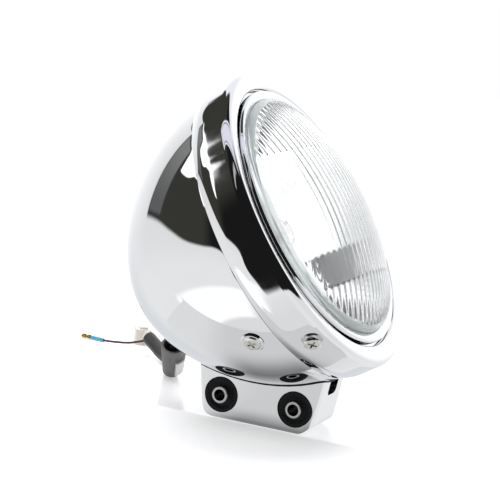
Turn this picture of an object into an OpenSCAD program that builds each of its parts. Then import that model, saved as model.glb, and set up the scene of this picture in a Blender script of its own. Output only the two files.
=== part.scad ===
// Round chrome motorcycle headlight on a cushioned two-bolt bracket.
// X runs forward, Y to the lamp's left and Z up. The origin lies midway between the two
// mounting bolt axes, on the lamp's centre plane. Sizes are in millimetres.

/* [Stance] */
// Upward tilt of the optical axis when the bracket stands on its foot
tilt = 33.2; // [20:0.2:40]
// Distance between the two mounting bolt axes
collar_pitch = 48; // [46:0.5:54]
// Height of the bolt axes above the bracket's foot
axis_height = 15.2; // [14:0.1:20]
// Height of the bowl's lowest point above the bolt axes
seat_height = 9; // [8.8:0.1:14]
// How far the bowl's lowest point lies behind the middle of the bolt axes
seat_setback = 4.7; // [2:0.5:9]

/* [Rim] */
// Inner radius of the rim's rolled lip
lip_r = 84.2; // [80:0.1:90]
// Radial width of the rim, from its lip to its largest radius
rim_band = 12.7; // [11:0.1:16]
// Depth of the rim behind its lip
rim_depth = 23.4; // [21:0.1:28]
// Narrowing of the rim from its largest radius to its rear edge
rim_taper = 1.8; // [1:0.1:2.4]
// Width of the rim's soft rear bend
rear_bend = 7; // [5:0.5:8]
// Height of the front shoulder above the lip
shoulder_rise = 3; // [2:0.1:4]
// Radius of the rounded front shoulder
shoulder_r = 5; // [3.5:0.1:6]
// Radius of the rolled lip
lip_roll = 2.2; // [1.8:0.1:3]
// Length of the lip's return behind the lip circle
lip_return = 1.5; // [1:0.1:1.6]
// Thickness of the rim's sheet
rim_sheet = 1; // [0.8:0.1:1.2]

/* [Bowl] */
// Clearance between the rim's rear edge and the bowl
bowl_fit = 0.3; // [0.2:0.1:0.6]
// Depth of the bowl behind the rim
bowl_depth = 105; // [98:1:125]
// Exponent that keeps the bowl's front full
bowl_fullness = 1.77; // [1.7:0.01:2]
// Exponent that rounds the bowl's back
bowl_roundness = 1.59; // [1.5:0.01:1.8]
// Thickness of the bowl's sheet
bowl_sheet = 1.2; // [1:0.1:1.5]
// Length of the bowl's skirt inside the rim
skirt = 8; // [6:0.5:9]
// Inward curl at the bowl's front edge
curl = 1.5; // [1:0.1:2]

/* [Light unit] */
// Radial gap between the rim's lip and the trim ring
ring_gap = 1.6; // [1.2:0.1:2]
// Height of the trim ring's bead above the rim's lip
ring_rise = 3.2; // [2.6:0.1:4]
// Rounding of the trim ring's bead
ring_bead = 1.6; // [1.3:0.1:2]
// Radial width of the trim ring outside the glass
ring_width = 5.7; // [5:0.1:7]
// Thickness of the trim ring's sheet
ring_sheet = 0.9; // [0.8:0.1:1]
// Radial clearance between glass and trim ring
glass_fit = 0.3; // [0.2:0.1:0.5]
// Radial width of the glass's sloping shoulder
glass_shoulder = 3.9; // [3:0.1:5]
// Height of the glass's shoulder above the rim's lip
glass_rise = 6.6; // [5.5:0.1:8]
// Height of the glass's dome above its shoulder
dome_rise = 17; // [12:0.5:20]
// Thickness of the glass
glass_wall = 4; // [3.5:0.1:5]
// Pitch of the glass's inner flutes
flute_pitch = 5.6; // [4.6:0.1:8]
// Depth of the glass's inner flutes
flute_depth = 0.7; // [0.4:0.05:0.9]
// Focal length of the reflector
focal_length = 27; // [25:0.5:29]
// Radial width of the gasket's face outside the reflector's mouth
gasket_face = 0.9; // [0.8:0.1:1.6]
// Thickness of the reflector's sheet
reflector_sheet = 1; // [0.8:0.1:1.2]
// Thickness of the gasket between glass and reflector
gasket_t = 0.8; // [0.6:0.1:1]
// Thickness of the ring that carries the unit
carrier_t = 1.2; // [1:0.1:1.5]

/* [Bulb] */
// Radius of the reflector's hole for the bulb
bulb_hole_r = 19; // [18:0.1:20]
// Radius of the bulb's glass
bulb_glass_r = 8.5; // [7.5:0.1:9]
// Length of the bulb's glass ahead of its cap
bulb_glass_l = 36; // [30:0.5:40]
// Radius of the bulb's metal flange
bulb_flange_r = 21.5; // [21:0.1:22]

/* [Bracket] */
// Width of the bracket across the lamp
bracket_width = 42.8; // [40:0.1:50]
// Reach of the foot's front corner ahead of the middle of the bolt axes
bracket_front = 34.6; // [33:0.1:38]
// Reach of the foot's rear corner behind the middle of the bolt axes
bracket_rear = 37.1; // [35:0.1:40]
// Outward lean of the bracket's two end walls
end_lean = 9; // [4:0.5:12]
// Rounding between the foot and the end walls
foot_r = 13; // [10:0.5:14]
// Rounding of the bracket's upright corners
corner_r = 6; // [4:0.5:8]
// Rounding between the foot and the sides
foot_side_r = 3; // [2:0.5:4]
// Wall of the bracket's hollow casting
casting_wall = 4; // [3:0.5:5]
// Thickness of the rubber pad under the bowl
pad_t = 0.8; // [0.6:0.1:1.2]

/* [Cushioned mounting] */
// Outer radius of the steel collars
collar_r = 5; // [4.6:0.1:5.4]
// Bore radius of the steel collars, for an M6 bolt with room to spare
collar_bore_r = 3.5; // [3.1:0.1:4]
// How far the collars stand proud of the bracket on each side
collar_proud = 2.6; // [1.5:0.1:4]
// Radius of the rubber bushings' heads
bushing_r = 10.9; // [10:0.1:11]
// Radius of the rubber bushings' stems
stem_r = 7.8; // [7:0.1:8]
// Depth of the rubber bushings' heads
bushing_head = 5; // [4:0.5:5]
// Gap between the two bushings on one collar
bushing_gap = 4; // [2:0.5:8]
// Clearance of the bushings in the bracket and on the collars
bushing_fit = 0.1; // [0.05:0.05:0.2]

/* [Fasteners] */
// Angle of the aiming screws from the bottom of the rim
aim_angle = 45; // [38:1:46]
// Distance of the aiming screws behind the lip
aim_back = 8; // [7.6:0.1:9]
// Radius of the aiming screws' heads
aim_head_r = 5; // [4.4:0.1:5.4]
// Radius of the aiming screws' threads
aim_shank_r = 2.5; // [2:0.1:2.6]
// Radius of the shallow dimple round each aiming screw
dimple_r = 7.5; // [6.5:0.1:7.6]
// Depth of the dimple
dimple_depth = 2; // [1.4:0.1:2.2]
// Angle of the rim screws from the bottom of the bowl
rim_screw_angle = 53.6; // [52:0.2:70]
// Distance of the rim screws behind the rim's rear edge
rim_screw_back = 15.5; // [12:0.5:20]
// Radius of the rim screws' heads
rim_head_r = 5.4; // [4.6:0.1:6]
// Radius of the rim screws' trim washers
trim_washer_r = 6.8; // [6.4:0.1:7.5]
// Radius of the rim screws' threads
rim_shank_r = 2.5; // [2:0.1:2.6]
// Radius of the bolts that hold the bracket to the bowl
bracket_bolt_r = 3; // [2.5:0.1:3.2]
// Distance of those bolts from the centre plane
bracket_bolt_y = 9; // [8:0.5:10]
// Clearance round screws and bolts
screw_fit = 0.2; // [0.1:0.05:0.3]

/* [Wiring] */
// Angle of the wiring hole from the lamp's lowest line towards its left side
wiring_angle = 50; // [40:1:60]
// Place of the wiring hole along the bowl's depth, as a fraction
wiring_place = 0.86; // [0.84:0.01:0.88]
// Radius of the wiring hole
wiring_hole_r = 9.6; // [9:0.1:10]
// Diameter of the dark sleeve round the main leads
sleeve_d = 9.6; // [8:0.2:9.6]
// Diameter of the lead in the rubber boot
boot_lead_d = 5; // [4:0.5:5]
// Diameter of the brown wire
wire_d = 1.6; // [1.4:0.1:2]

/* [Hidden] */
$fn = 96;
eps = 0.01;

// Rim sizes that follow from the driving ones
rim_r = lip_r + rim_band;
rim_rear_r = rim_r - rim_taper;
bend_r = rim_r - rim_taper * 0.3;
roll_z = -0.4;

// Bowl
bowl_r = rim_rear_r - rim_sheet - bowl_fit;
bowl_front = -rim_depth + skirt;
bowl_steps = 22;

// Lowest point of the tilted bowl, as (ahead, above) of the lip's centre
function bowl_shape(s) = pow(1 - pow(s, bowl_fullness), 1 / bowl_roundness);
function bowl_step(i) = sin(90 * i / bowl_steps);
function bowl_line(inset = 0) = [
    for (i = [0:bowl_steps])
        [(bowl_r - inset) * bowl_shape(bowl_step(i)), -rim_depth - (bowl_depth - inset) * bowl_step(i)]
];
function ahead_of(p) = p[1] * cos(tilt) + p[0] * sin(tilt);
function above_of(p) = p[1] * sin(tilt) - p[0] * cos(tilt);
under = [for (i = [0:0.1:bowl_steps]) [bowl_r * bowl_shape(bowl_step(i)), -rim_depth - bowl_depth * bowl_step(i)]];
lows = [for (p = under) above_of(p)];
low_at = search(min(lows), lows)[0];
lamp_above = seat_height - min(lows);
lamp_ahead = -seat_setback - ahead_of(under[low_at]);
foot_z = -axis_height;

// Radius and slope of the bowl's sheet at a depth behind the rim
function bowl_r_at(back, inset = 0) = (bowl_r - inset) * bowl_shape(back / (bowl_depth - inset));
function bowl_slope(back) =
    let (s = back / bowl_depth, p = bowl_fullness, q = 1 / bowl_roundness)
    atan(bowl_r / bowl_depth * p * q * pow(s, p - 1) * pow(1 - pow(s, p), q - 1));

// Light unit, measured from the lip circle along the optical axis
ring_r = lip_r - ring_gap;
glass_r = ring_r - ring_width;
flange_z = -2.7;
flange_reach = 5.3;
flange_r = lip_r + flange_reach;
ring_lip_z = ring_rise - 1;
glass_flange_r = ring_r - ring_sheet - glass_fit;
glass_flange_top = ring_lip_z - ring_sheet;
dome_r = glass_r - glass_fit - glass_shoulder;
reflector_flange_z = flange_z - ring_sheet;
gasket_z = reflector_flange_z + reflector_sheet;
glass_flange_z = gasket_z + gasket_t;
reflector_r = glass_flange_r - gasket_face;
reflector_depth = reflector_r * reflector_r / (4 * focal_length);
vertex_z = reflector_flange_z - reflector_depth;
bulb_seat_z = vertex_z - 3;
carrier_gap = 0.6;
carrier_in_r = reflector_r + reflector_sheet + carrier_gap;
lug_reach = 4.2;
lug_r = lip_r + lug_reach;
lug_t = 1.4;
lug_w = 14;
lug_end = -aim_back - 6;
nut_h = 3.4;
nut_w = 8;

// Fans of points on a circle
function arc(x, y, r, a0, a1, n = 8) =
    [for (i = [0:n]) let (a = a0 + (a1 - a0) * i / n) [x + r * cos(a), y + r * sin(a)]];
function reversed(list) = [for (i = [len(list) - 1:-1:0]) list[i]];

// Section of the rim's sheet, with t the depth below its outer face
function rim_line(t = 0) = concat(
    [[rim_rear_r - t, -rim_depth], [bend_r - t, -rim_depth + rear_bend],
     [rim_r - t, -rim_depth + 2 * rear_bend]],
    arc(rim_r - shoulder_r, shoulder_rise - shoulder_r, shoulder_r - t, 0, 90, 8),
    arc(lip_r + lip_roll, roll_z, lip_roll - t, 90, 180, 6),
    [[lip_r + t, -lip_return]]
);

// Tube swept along points, with a round section of the given number of sides
function unit(v) = v / norm(v);
function heading(path, i) =
    unit(path[min(i + 1, len(path) - 1)] - path[max(i - 1, 0)]);
function carried(side, along) = unit(side - (side * along) * along);
function sides_along(path, i = 0, side = [0.1, 0.3, 1]) =
    i == len(path) ? [] :
    let (s = carried(side, heading(path, i))) concat([s], sides_along(path, i + 1, s));

module tube(path, d, sides = 8) {
    across = sides_along(path);
    rings = [
        for (i = [0:len(path) - 1], k = [0:sides - 1])
            let (a = 360 * k / sides, u = across[i], v = cross(heading(path, i), u))
            path[i] + d / 2 * (cos(a) * u + sin(a) * v)
    ];
    skin = [
        for (i = [0:len(path) - 2], k = [0:sides - 1])
            let (j = (k + 1) % sides, a = i * sides, b = a + sides)
            [a + k, b + k, b + j, a + j]
    ];
    ends = [[for (k = [0:sides - 1]) k],
            [for (k = [sides - 1:-1:0]) (len(path) - 1) * sides + k]];
    polyhedron(rings, concat(skin, ends));
}

// Frames: in_lamp has Z along the optical axis and X down; at_rim has Z outward from the axis;
// at_bowl has Z outward from the bowl's sheet
module in_lamp() { translate([lamp_ahead, 0, lamp_above]) rotate([0, 90 - tilt, 0]) children(); }
module at_rim(angle, z) { rotate([0, 0, angle]) translate([0, 0, z]) rotate([0, 90, 0]) children(); }
module at_bowl(angle, back) {
    rotate([0, 0, angle])
        translate([bowl_r_at(back), 0, -rim_depth - back])
            rotate([0, 90 + bowl_slope(back), 0]) children();
}
module both_sides(angle) { for (a = [-angle, angle]) rotate([0, 0, a]) children(); }
module lathe(points) { rotate_extrude() polygon(points); }

// Closed body of the bowl's outer face, grown by an even margin
module bowl_body(grown = 0) {
    lathe(concat([[0, bowl_front], [bowl_r + grown, bowl_front]], bowl_line(-grown)));
}

// Cross-slotted screw head with a domed top, its seat at z = 0
module cross_head(r, h) {
    difference() {
        lathe(concat([[0, 0], [r, 0]], arc(r - h * 0.5, h * 0.5, h * 0.5, 0, 60, 4), [[0, h]]));
        for (a = [0, 90]) rotate(a) translate([-r * 0.55, -r * 0.11, h * 0.45]) cube([r * 1.1, r * 0.22, h]);
    }
}

// Round dimple in the rim under each aiming screw, and the seat of the screw's head in it
ball_r = (dimple_r * dimple_r + dimple_depth * dimple_depth) / (2 * dimple_depth);
ball_at = rim_r - dimple_depth + ball_r;
aim_seat = ball_at - sqrt(ball_r * ball_r - aim_head_r * aim_head_r) + 0.02;

module rim() {
    shell = concat(rim_line(0), reversed(rim_line(rim_sheet)));
    color("gainsboro") in_lamp() difference() {
        union() {
            lathe(shell);
            for (a = [-aim_angle, aim_angle]) intersection() {
                at_rim(a, -aim_back) translate([0, 0, ball_at]) sphere(ball_r + rim_sheet);
                at_rim(a, -aim_back) cylinder(r = dimple_r + 1, h = rim_r + 2);
                lathe(concat([[rim_r - 8, -rim_depth]], rim_line(rim_sheet / 2),
                    [[rim_r - 8, -lip_return]]));
            }
        }
        for (a = [-aim_angle, aim_angle]) at_rim(a, -aim_back) {
            translate([0, 0, ball_at]) sphere(ball_r);
            cylinder(r = aim_shank_r + screw_fit, h = rim_r);
        }
    }
}

module trim_ring() {
    bead_x = ring_r - ring_bead;
    bead_z = ring_rise - ring_bead;
    t = ring_sheet;
    color("gainsboro") in_lamp() difference() {
        lathe(concat(
            [[flange_r, flange_z - t], [flange_r, flange_z], [ring_r, flange_z]],
            arc(bead_x, bead_z, ring_bead, 0, 90, 6),
            [[glass_r, ring_lip_z], [glass_r, ring_lip_z - t]],
            reversed(arc(bead_x, bead_z, ring_bead - t, 0, 90, 4)),
            [[ring_r - t, flange_z - t]]
        ));
        unit_screw_holes();
    }
}

unit_screw_r = 1.5;
unit_screw_at = (ring_r + flange_r) / 2 + 0.4;
unit_screw_l = 4;
module unit_screw_holes() {
    for (a = [0:90:270]) rotate(a) translate([unit_screw_at, 0, flange_z - 2 * unit_screw_l])
        cylinder(r = unit_screw_r + screw_fit, h = 3 * unit_screw_l);
}

module unit_screws() {
    color("silver") in_lamp() for (a = [0:90:270]) rotate(a) translate([unit_screw_at, 0, flange_z]) {
        cylinder(r = 2.5, h = 1);
        translate([0, 0, -unit_screw_l]) cylinder(r = unit_screw_r, h = unit_screw_l);
    }
}

// The dome's fluted inner face is one turned body: its scalloped section spins about the
// horizontal diameter through the dome's centre of curvature
module lens_glass() {
    edge = glass_r - glass_fit;
    ball_r = (dome_r * dome_r + dome_rise * dome_rise) / (2 * dome_rise);
    ball_z = glass_rise + dome_rise - ball_r;
    sweep = asin(dome_r / ball_r);
    inner_r = ball_r - glass_wall;
    inner_edge = dome_r - 1;
    flutes = floor(inner_edge / flute_pitch);
    scallops = [
        for (i = [-flutes:flutes - 1], k = [0:3])
            let (y = flute_pitch * (i + k / 4))
            [sqrt(inner_r * inner_r - y * y) + flute_depth * sin(45 * k), y]
    ];
    ends = flutes * flute_pitch;
    color([0.9, 0.95, 0.95, 0.5]) in_lamp() difference() {
        lathe(concat(
            [[0, glass_flange_z], [glass_flange_r, glass_flange_z], [glass_flange_r, glass_flange_top],
             [edge, glass_flange_top], [edge, glass_flange_top + 1.6],
             [edge - glass_shoulder * 0.4, glass_rise - 1.2]],
            [for (i = [12:-1:0]) let (a = sweep * i / 12) [ball_r * sin(a), ball_z + ball_r * cos(a)]]
        ));
        intersection() {
            translate([0, 0, glass_flange_z - 1]) cylinder(r = inner_edge, h = dome_rise + 20);
            translate([0, 0, ball_z]) rotate([90, 0, 0])
                lathe(concat([[0, -inner_edge - 2], [inner_r * 0.9, -inner_edge - 2],
                    [sqrt(inner_r * inner_r - ends * ends), -ends - 0.01]], scallops,
                    [[sqrt(inner_r * inner_r - ends * ends), ends],
                     [inner_r * 0.9, inner_edge + 2], [0, inner_edge + 2]]));
        }
    }
}

module lens_gasket() {
    color("dimgray") in_lamp() translate([0, 0, gasket_z]) difference() {
        cylinder(r = glass_flange_r - 0.2, h = gasket_t);
        translate([0, 0, -1]) cylinder(r = reflector_r, h = gasket_t + 2);
    }
}

module reflector() {
    steps = 14;
    neck_z = vertex_z + bulb_hole_r * bulb_hole_r / (4 * focal_length);
    t = reflector_sheet;
    wall = [
        for (i = [0:steps])
            let (r = reflector_r + (bulb_hole_r - reflector_r) * i / steps)
            [r, vertex_z + r * r / (4 * focal_length)]
    ];
    back = [for (p = reversed(wall)) [p[0] + t, p[1] - t * 0.7]];
    color("whitesmoke") in_lamp()
        lathe(concat(
            [[glass_flange_r, reflector_flange_z], [glass_flange_r, gasket_z], [reflector_r, gasket_z]],
            wall,
            [[bulb_hole_r, bulb_seat_z], [bulb_hole_r + 5, bulb_seat_z],
             [bulb_hole_r + 5, bulb_seat_z + t], [bulb_hole_r + t, bulb_seat_z + t]],
            back
        ));
}

// Ring that clamps the unit's flange from behind and carries the aiming lugs
module carrier_ring() {
    z = reflector_flange_z - carrier_t;
    color("silver") in_lamp() difference() {
        union() {
            translate([0, 0, z]) difference() {
                cylinder(r = lug_r, h = carrier_t);
                translate([0, 0, -1]) cylinder(r = carrier_in_r, h = carrier_t + 2);
            }
            both_sides(aim_angle) translate([lug_r - lug_t, -lug_w / 2, lug_end]) cube([lug_t, lug_w, z - lug_end + eps]);
        }
        unit_screw_holes();
        for (a = [-aim_angle, aim_angle]) at_rim(a, -aim_back) {
            cylinder(r = aim_shank_r + screw_fit, h = rim_r);
            translate([-nut_w / 2 - 0.2, -nut_w / 2 - 0.2, lug_r - lug_t - nut_h - 1]) cube([nut_w + 0.4, nut_w + 0.4, nut_h + 1]);
        }
    }
}

module pivot_clip() {
    z = reflector_flange_z - carrier_t;
    reach = rim_r - rim_sheet - 0.5;
    t = 1.2;
    w = 16;
    color("silver") in_lamp() difference() {
        rotate(180) translate([0, -w / 2, z - t]) {
            translate([ring_r + 1, 0, 0]) cube([reach - ring_r - 1, w, t]);
            translate([reach - t, 0, -7]) cube([t, w, 7 + eps]);
        }
        unit_screw_holes();
    }
}

module aim_screws() {
    tip = lug_r - lug_t - nut_h - 3;
    color("silver") in_lamp() for (a = [-aim_angle, aim_angle]) at_rim(a, -aim_back) {
        translate([0, 0, aim_seat]) rotate(30) cross_head(aim_head_r, 3.4);
        translate([0, 0, tip]) cylinder(r = aim_shank_r, h = aim_seat - tip + eps);
    }
}

module aim_springs() {
    wire = 1;
    start = lug_r + wire / 2;
    finish = rim_r - dimple_depth - rim_sheet - wire / 2 - 0.3;
    coil_r = 3.7;
    turns = 3;
    per_turn = 14;
    coil = [
        for (i = [0:turns * per_turn])
            let (a = 360 * i / per_turn)
            [coil_r * cos(a), coil_r * sin(a), start + (finish - start) * i / (turns * per_turn)]
    ];
    color("dimgray") in_lamp() for (a = [-aim_angle, aim_angle]) at_rim(a, -aim_back) tube(coil, wire, 6);
}

module aim_nuts() {
    color("silver") in_lamp() for (a = [-aim_angle, aim_angle]) at_rim(a, -aim_back)
        translate([0, 0, lug_r - lug_t - nut_h]) difference() {
            translate([-nut_w / 2, -nut_w / 2, 0]) cube([nut_w, nut_w, nut_h]);
            translate([0, 0, -1]) cylinder(r = aim_shank_r + screw_fit / 2, h = nut_h + 2);
        }
}

module bowl() {
    inside = reversed(bowl_line(bowl_sheet));
    front_in = bowl_r - bowl_sheet;
    color("gainsboro") difference() {
        in_lamp() difference() {
            lathe(concat(
                [[front_in - curl, bowl_front], [bowl_r, bowl_front]], bowl_line(), inside,
                [[front_in, bowl_front - bowl_sheet], [front_in - curl, bowl_front - bowl_sheet]]
            ));
            for (a = [-rim_screw_angle, rim_screw_angle]) at_bowl(a, rim_screw_back)
                translate([0, 0, -8]) cylinder(r = rim_shank_r + screw_fit, h = 12);
            at_bowl(wiring_angle, hole_back) translate([0, 0, -10]) cylinder(r = wiring_hole_r, h = 16);
        }
        bracket_bolt_holes();
    }
}

module bracket_bolt_holes() {
    for (y = [-bracket_bolt_y, bracket_bolt_y]) translate([-seat_setback, y, foot_z + casting_wall])
        cylinder(r = bracket_bolt_r + screw_fit, h = 40);
}

// Straps inside the rim that reach back past the bowl's front edge to the rim screws
tab_w = 12;
tab_t = 1.2;
tab_gap = 0.5;
function tab_out(back) = bowl_r_at(back, bowl_sheet) - tab_gap;
module rim_tabs() {
    foot_out = rim_r - rim_sheet - 0.6;
    edge = bowl_front + 0.8;
    neck = bowl_r - bowl_sheet - curl - tab_gap;
    backs = [for (i = [0:4]) 1 + (rim_screw_back + 6) * i / 4];
    color("silver") in_lamp() difference() {
        both_sides(rim_screw_angle) translate([0, tab_w / 2, 0]) rotate([90, 0, 0]) linear_extrude(tab_w)
            polygon(concat(
                [[foot_out, edge + 8], [foot_out, edge], [neck, edge], [neck, bowl_front - bowl_sheet - 1]],
                [for (b = backs) [tab_out(b), -rim_depth - b]],
                [for (b = reversed(backs)) [tab_out(b) - tab_t, -rim_depth - b]],
                [[neck - tab_t, bowl_front - bowl_sheet - 1], [neck - tab_t, edge + tab_t],
                 [foot_out - tab_t, edge + tab_t], [foot_out - tab_t, edge + 8]]
            ));
        for (a = [-rim_screw_angle, rim_screw_angle]) at_bowl(a, rim_screw_back)
            translate([0, 0, -12]) cylinder(r = rim_shank_r + screw_fit, h = 14);
    }
}

tab_nut_top = -bowl_sheet - tab_gap - tab_t - 0.35;
module tab_nuts() {
    color("silver") in_lamp() for (a = [-rim_screw_angle, rim_screw_angle]) at_bowl(a, rim_screw_back)
        translate([0, 0, tab_nut_top - 3.6]) difference() {
            cylinder(r = 4.6, h = 3.6, $fn = 6);
            translate([0, 0, -1]) cylinder(r = rim_shank_r + screw_fit / 2, h = 6);
        }
}

washer_t = 1;
module trim_washers() {
    color("gainsboro") in_lamp() for (a = [-rim_screw_angle, rim_screw_angle]) at_bowl(a, rim_screw_back)
        lathe([[rim_shank_r + screw_fit, 0.05], [trim_washer_r, 0.05], [trim_washer_r, 0.4],
            [trim_washer_r - 0.6, washer_t], [rim_head_r + 0.1, washer_t], [rim_head_r - 0.9, 0.5],
            [rim_shank_r + screw_fit, 0.5]]);
}

module rim_screws() {
    color("silver") in_lamp() for (a = [-rim_screw_angle, rim_screw_angle]) at_bowl(a, rim_screw_back) {
        difference() {
            lathe(concat([[0, 0.5], [rim_head_r - 0.9, 0.5], [rim_head_r, washer_t]],
                [for (i = [1:6]) let (g = i / 6) [rim_head_r * (1 - g), washer_t + 1.1 * sqrt(1 - (1 - g) * (1 - g))]]));
            for (c = [0, 90]) rotate(c) translate([-2.8, -0.6, washer_t - 0.2]) cube([5.6, 1.2, 3]);
        }
        translate([0, 0, tab_nut_top - 5]) cylinder(r = rim_shank_r, h = 5.6 - tab_nut_top);
    }
}

// Bulb with a three-eared flange, held at the reflector's neck
bulb_flange_t = 1.2;
bulb_neck_r = 12;
bulb_neck_l = 10;
bulb_cap_r = 11;
bulb_cap_l = 14;
blade = [0.8, 7.8, 10];
blade_places = [[0, 6.5, 90], [6, -3, 0], [-6, -3, 0]];
module bulb_base() {
    z = bulb_seat_z;
    color("lightgray") in_lamp() {
        difference() {
            translate([0, 0, z - bulb_flange_t]) cylinder(r = bulb_flange_r, h = bulb_flange_t);
            for (a = [60:120:300]) rotate(a) translate([bulb_flange_r + 2, 0, z - 2 * bulb_flange_t])
                cylinder(r = 5, h = 3 * bulb_flange_t);
        }
        translate([0, 0, z - eps]) cylinder(r = bulb_neck_r, h = bulb_neck_l);
        translate([0, 0, z - bulb_cap_l]) cylinder(r = bulb_cap_r, h = bulb_cap_l - bulb_flange_t + eps);
        for (p = blade_places)
            translate([p[0], p[1], z - bulb_cap_l - blade[2]]) rotate(p[2])
                translate([-blade[0] / 2, -blade[1] / 2, 0]) cube([blade[0], blade[1], blade[2] + 0.5]);
    }
}

module bulb_glass() {
    z = bulb_seat_z + bulb_neck_l;
    t = 1;
    tip = bulb_glass_l - bulb_glass_r;
    color([0.95, 0.97, 1, 0.4]) in_lamp() translate([0, 0, z])
        lathe(concat([[bulb_glass_r - t, 0], [bulb_glass_r, 0]], arc(0, tip, bulb_glass_r, 0, 90, 8),
            reversed(arc(0, tip, bulb_glass_r - t, 0, 90, 8))));
}

module bulb_shield() {
    color("silver") in_lamp() translate([0, 0, bulb_seat_z + bulb_neck_l]) {
        difference() {
            translate([0, 0, 14]) cylinder(r = 4.2, h = 12);
            translate([0, 0, 15]) cylinder(r = 3.6, h = 12);
            translate([0, 0, 13]) cylinder(r = 2.4, h = 4);
            translate([-5, -5, 15]) cube([5, 10, 12]);
        }
        translate([2.6, -0.5, 0]) cube([1, 1, 14 + eps]);
    }
}

module bulb_filaments() {
    color("gray") in_lamp() translate([0, 0, bulb_seat_z + bulb_neck_l]) {
        for (p = [[-0.6, 18], [-0.6, 9]]) {
            translate([p[0], 0, p[1]]) cylinder(r = 0.8, h = 4.4);
            for (y = [-1.6, 1.6]) translate([p[0], y, 0]) cylinder(r = 0.35, h = p[1] + 2.4);
            translate([p[0] - 0.3, -1.6, p[1] + 1.8]) cube([0.6, 3.2, 0.6]);
        }
    }
}

module bulb_clip() {
    wire_r = 0.8;
    z = bulb_seat_z - bulb_flange_t - wire_r;
    color("gray") in_lamp() translate([0, 0, z]) {
        rotate_extrude() translate([bulb_flange_r - 4, 0]) circle(wire_r, $fn = 16);
        for (a = [0, 180]) rotate(a) translate([bulb_flange_r - 4, -0.7, -0.7]) cube([6, 1.4, 1.4]);
        for (a = [0, 180]) rotate(a) translate([bulb_flange_r + 0.6, -0.7, -0.7]) cube([1.4, 1.4, 2.6]);
    }
}

// Rubber boot over the bulb's back, and the socket in the boot's mouth
socket_r = 12.5;
socket_flange_r = 15;
socket_flange_t = 3;
socket_l = 16;
bulb_boot_l = 17;
boot_back = bulb_seat_z - bulb_boot_l;
socket_z = boot_back - 0.5;
socket_back = socket_z - socket_l;
module bulb_boot() {
    mouth = socket_flange_r + 0.2;
    color([0.12, 0.12, 0.12]) in_lamp() {
        lathe([[bulb_hole_r + 6, bulb_seat_z + 2], [bulb_hole_r + 8, bulb_seat_z + 2],
            [bulb_hole_r + 8, bulb_seat_z - 4], [bulb_hole_r + 3, bulb_seat_z - 8], [bulb_hole_r, boot_back],
            [mouth, boot_back], [mouth, boot_back + 2], [bulb_hole_r - 2, boot_back + 2],
            [bulb_hole_r + 1.6, bulb_seat_z - 7], [bulb_hole_r + 6, bulb_seat_z - 3.4]]);
    }
}

module bulb_socket() {
    gap = 0.4;
    color("ivory") in_lamp() translate([0, 0, socket_back]) difference() {
        union() {
            cylinder(r = socket_r, h = socket_l - socket_flange_t);
            translate([0, 0, socket_l - socket_flange_t - eps]) cylinder(r = socket_flange_r, h = socket_flange_t);
        }
        for (p = blade_places)
            translate([p[0], p[1], 6]) rotate(p[2]) translate([-blade[0] / 2 - gap, -blade[1] / 2 - gap, 0])
                cube([blade[0] + 2 * gap, blade[1] + 2 * gap, socket_l]);
    }
}

// Bracket: a hollow casting whose top follows the bowl
function side_outline(inset, top) =
    let (r = foot_r - inset, cz = foot_z + foot_r, reach = foot_r / tan(45 + end_lean / 2),
         front = bracket_front - reach, rear = -bracket_rear + reach,
         run = (top - cz + r * sin(end_lean)) * tan(end_lean))
    concat(
        arc(rear, cz, r, 180 + end_lean, 270, 7), arc(front, cz, r, 270, 360 - end_lean, 7),
        [[front + r * cos(end_lean) + run, top], [rear - r * cos(end_lean) - run, top]]
    );

module upright_corners(reach, inset) {
    w = bracket_width / 2 - inset;
    r = corner_r - inset / 2;
    all = 2 * (bracket_front + bracket_rear);
    translate([reach, 0, foot_z]) rotate([0, end_lean, 0]) translate([-inset, 0, -axis_height - foot_r])
        linear_extrude(all)
            polygon(concat([[-all, -w]], arc(-r, -w + r, r, 270, 360, 6), arc(-r, w - r, r, 0, 90, 6), [[-all, w]]));
}

block_top = seat_height + 15;
module bracket_block(inset = 0, top = block_top) {
    w = bracket_width / 2 - inset;
    r = foot_side_r - inset / 2;
    intersection() {
        translate([0, w, 0]) rotate([90, 0, 0]) linear_extrude(2 * w) polygon(side_outline(inset, top));
        upright_corners(bracket_front, inset);
        mirror([1, 0, 0]) upright_corners(bracket_rear, inset);
        translate([-2 * bracket_rear, 0, 0]) rotate([90, 0, 90]) linear_extrude(2 * (bracket_front + bracket_rear))
            polygon(concat([[-w, top]], arc(-w + r, foot_z + inset + r, r, 180, 270, 5),
                arc(w - r, foot_z + inset + r, r, 270, 360, 5), [[w, top]]));
    }
}

module both_axes() { for (x = [-collar_pitch / 2, collar_pitch / 2]) translate([x, 0, 0]) rotate([90, 0, 0]) children(); }

// Notch at the top of the front wall
notch_w = 14;
notch_floor = 8.5;
notch_r = 3;
module front_notch() {
    w = notch_w / 2;
    translate([bracket_front - 12, 0, 0]) rotate([90, 0, 90]) linear_extrude(24)
        polygon(concat([[-w, block_top]], arc(-w + notch_r, notch_floor + notch_r, notch_r, 180, 270, 5),
            arc(w - notch_r, notch_floor + notch_r, notch_r, 270, 360, 5), [[w, block_top]]));
}

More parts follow.
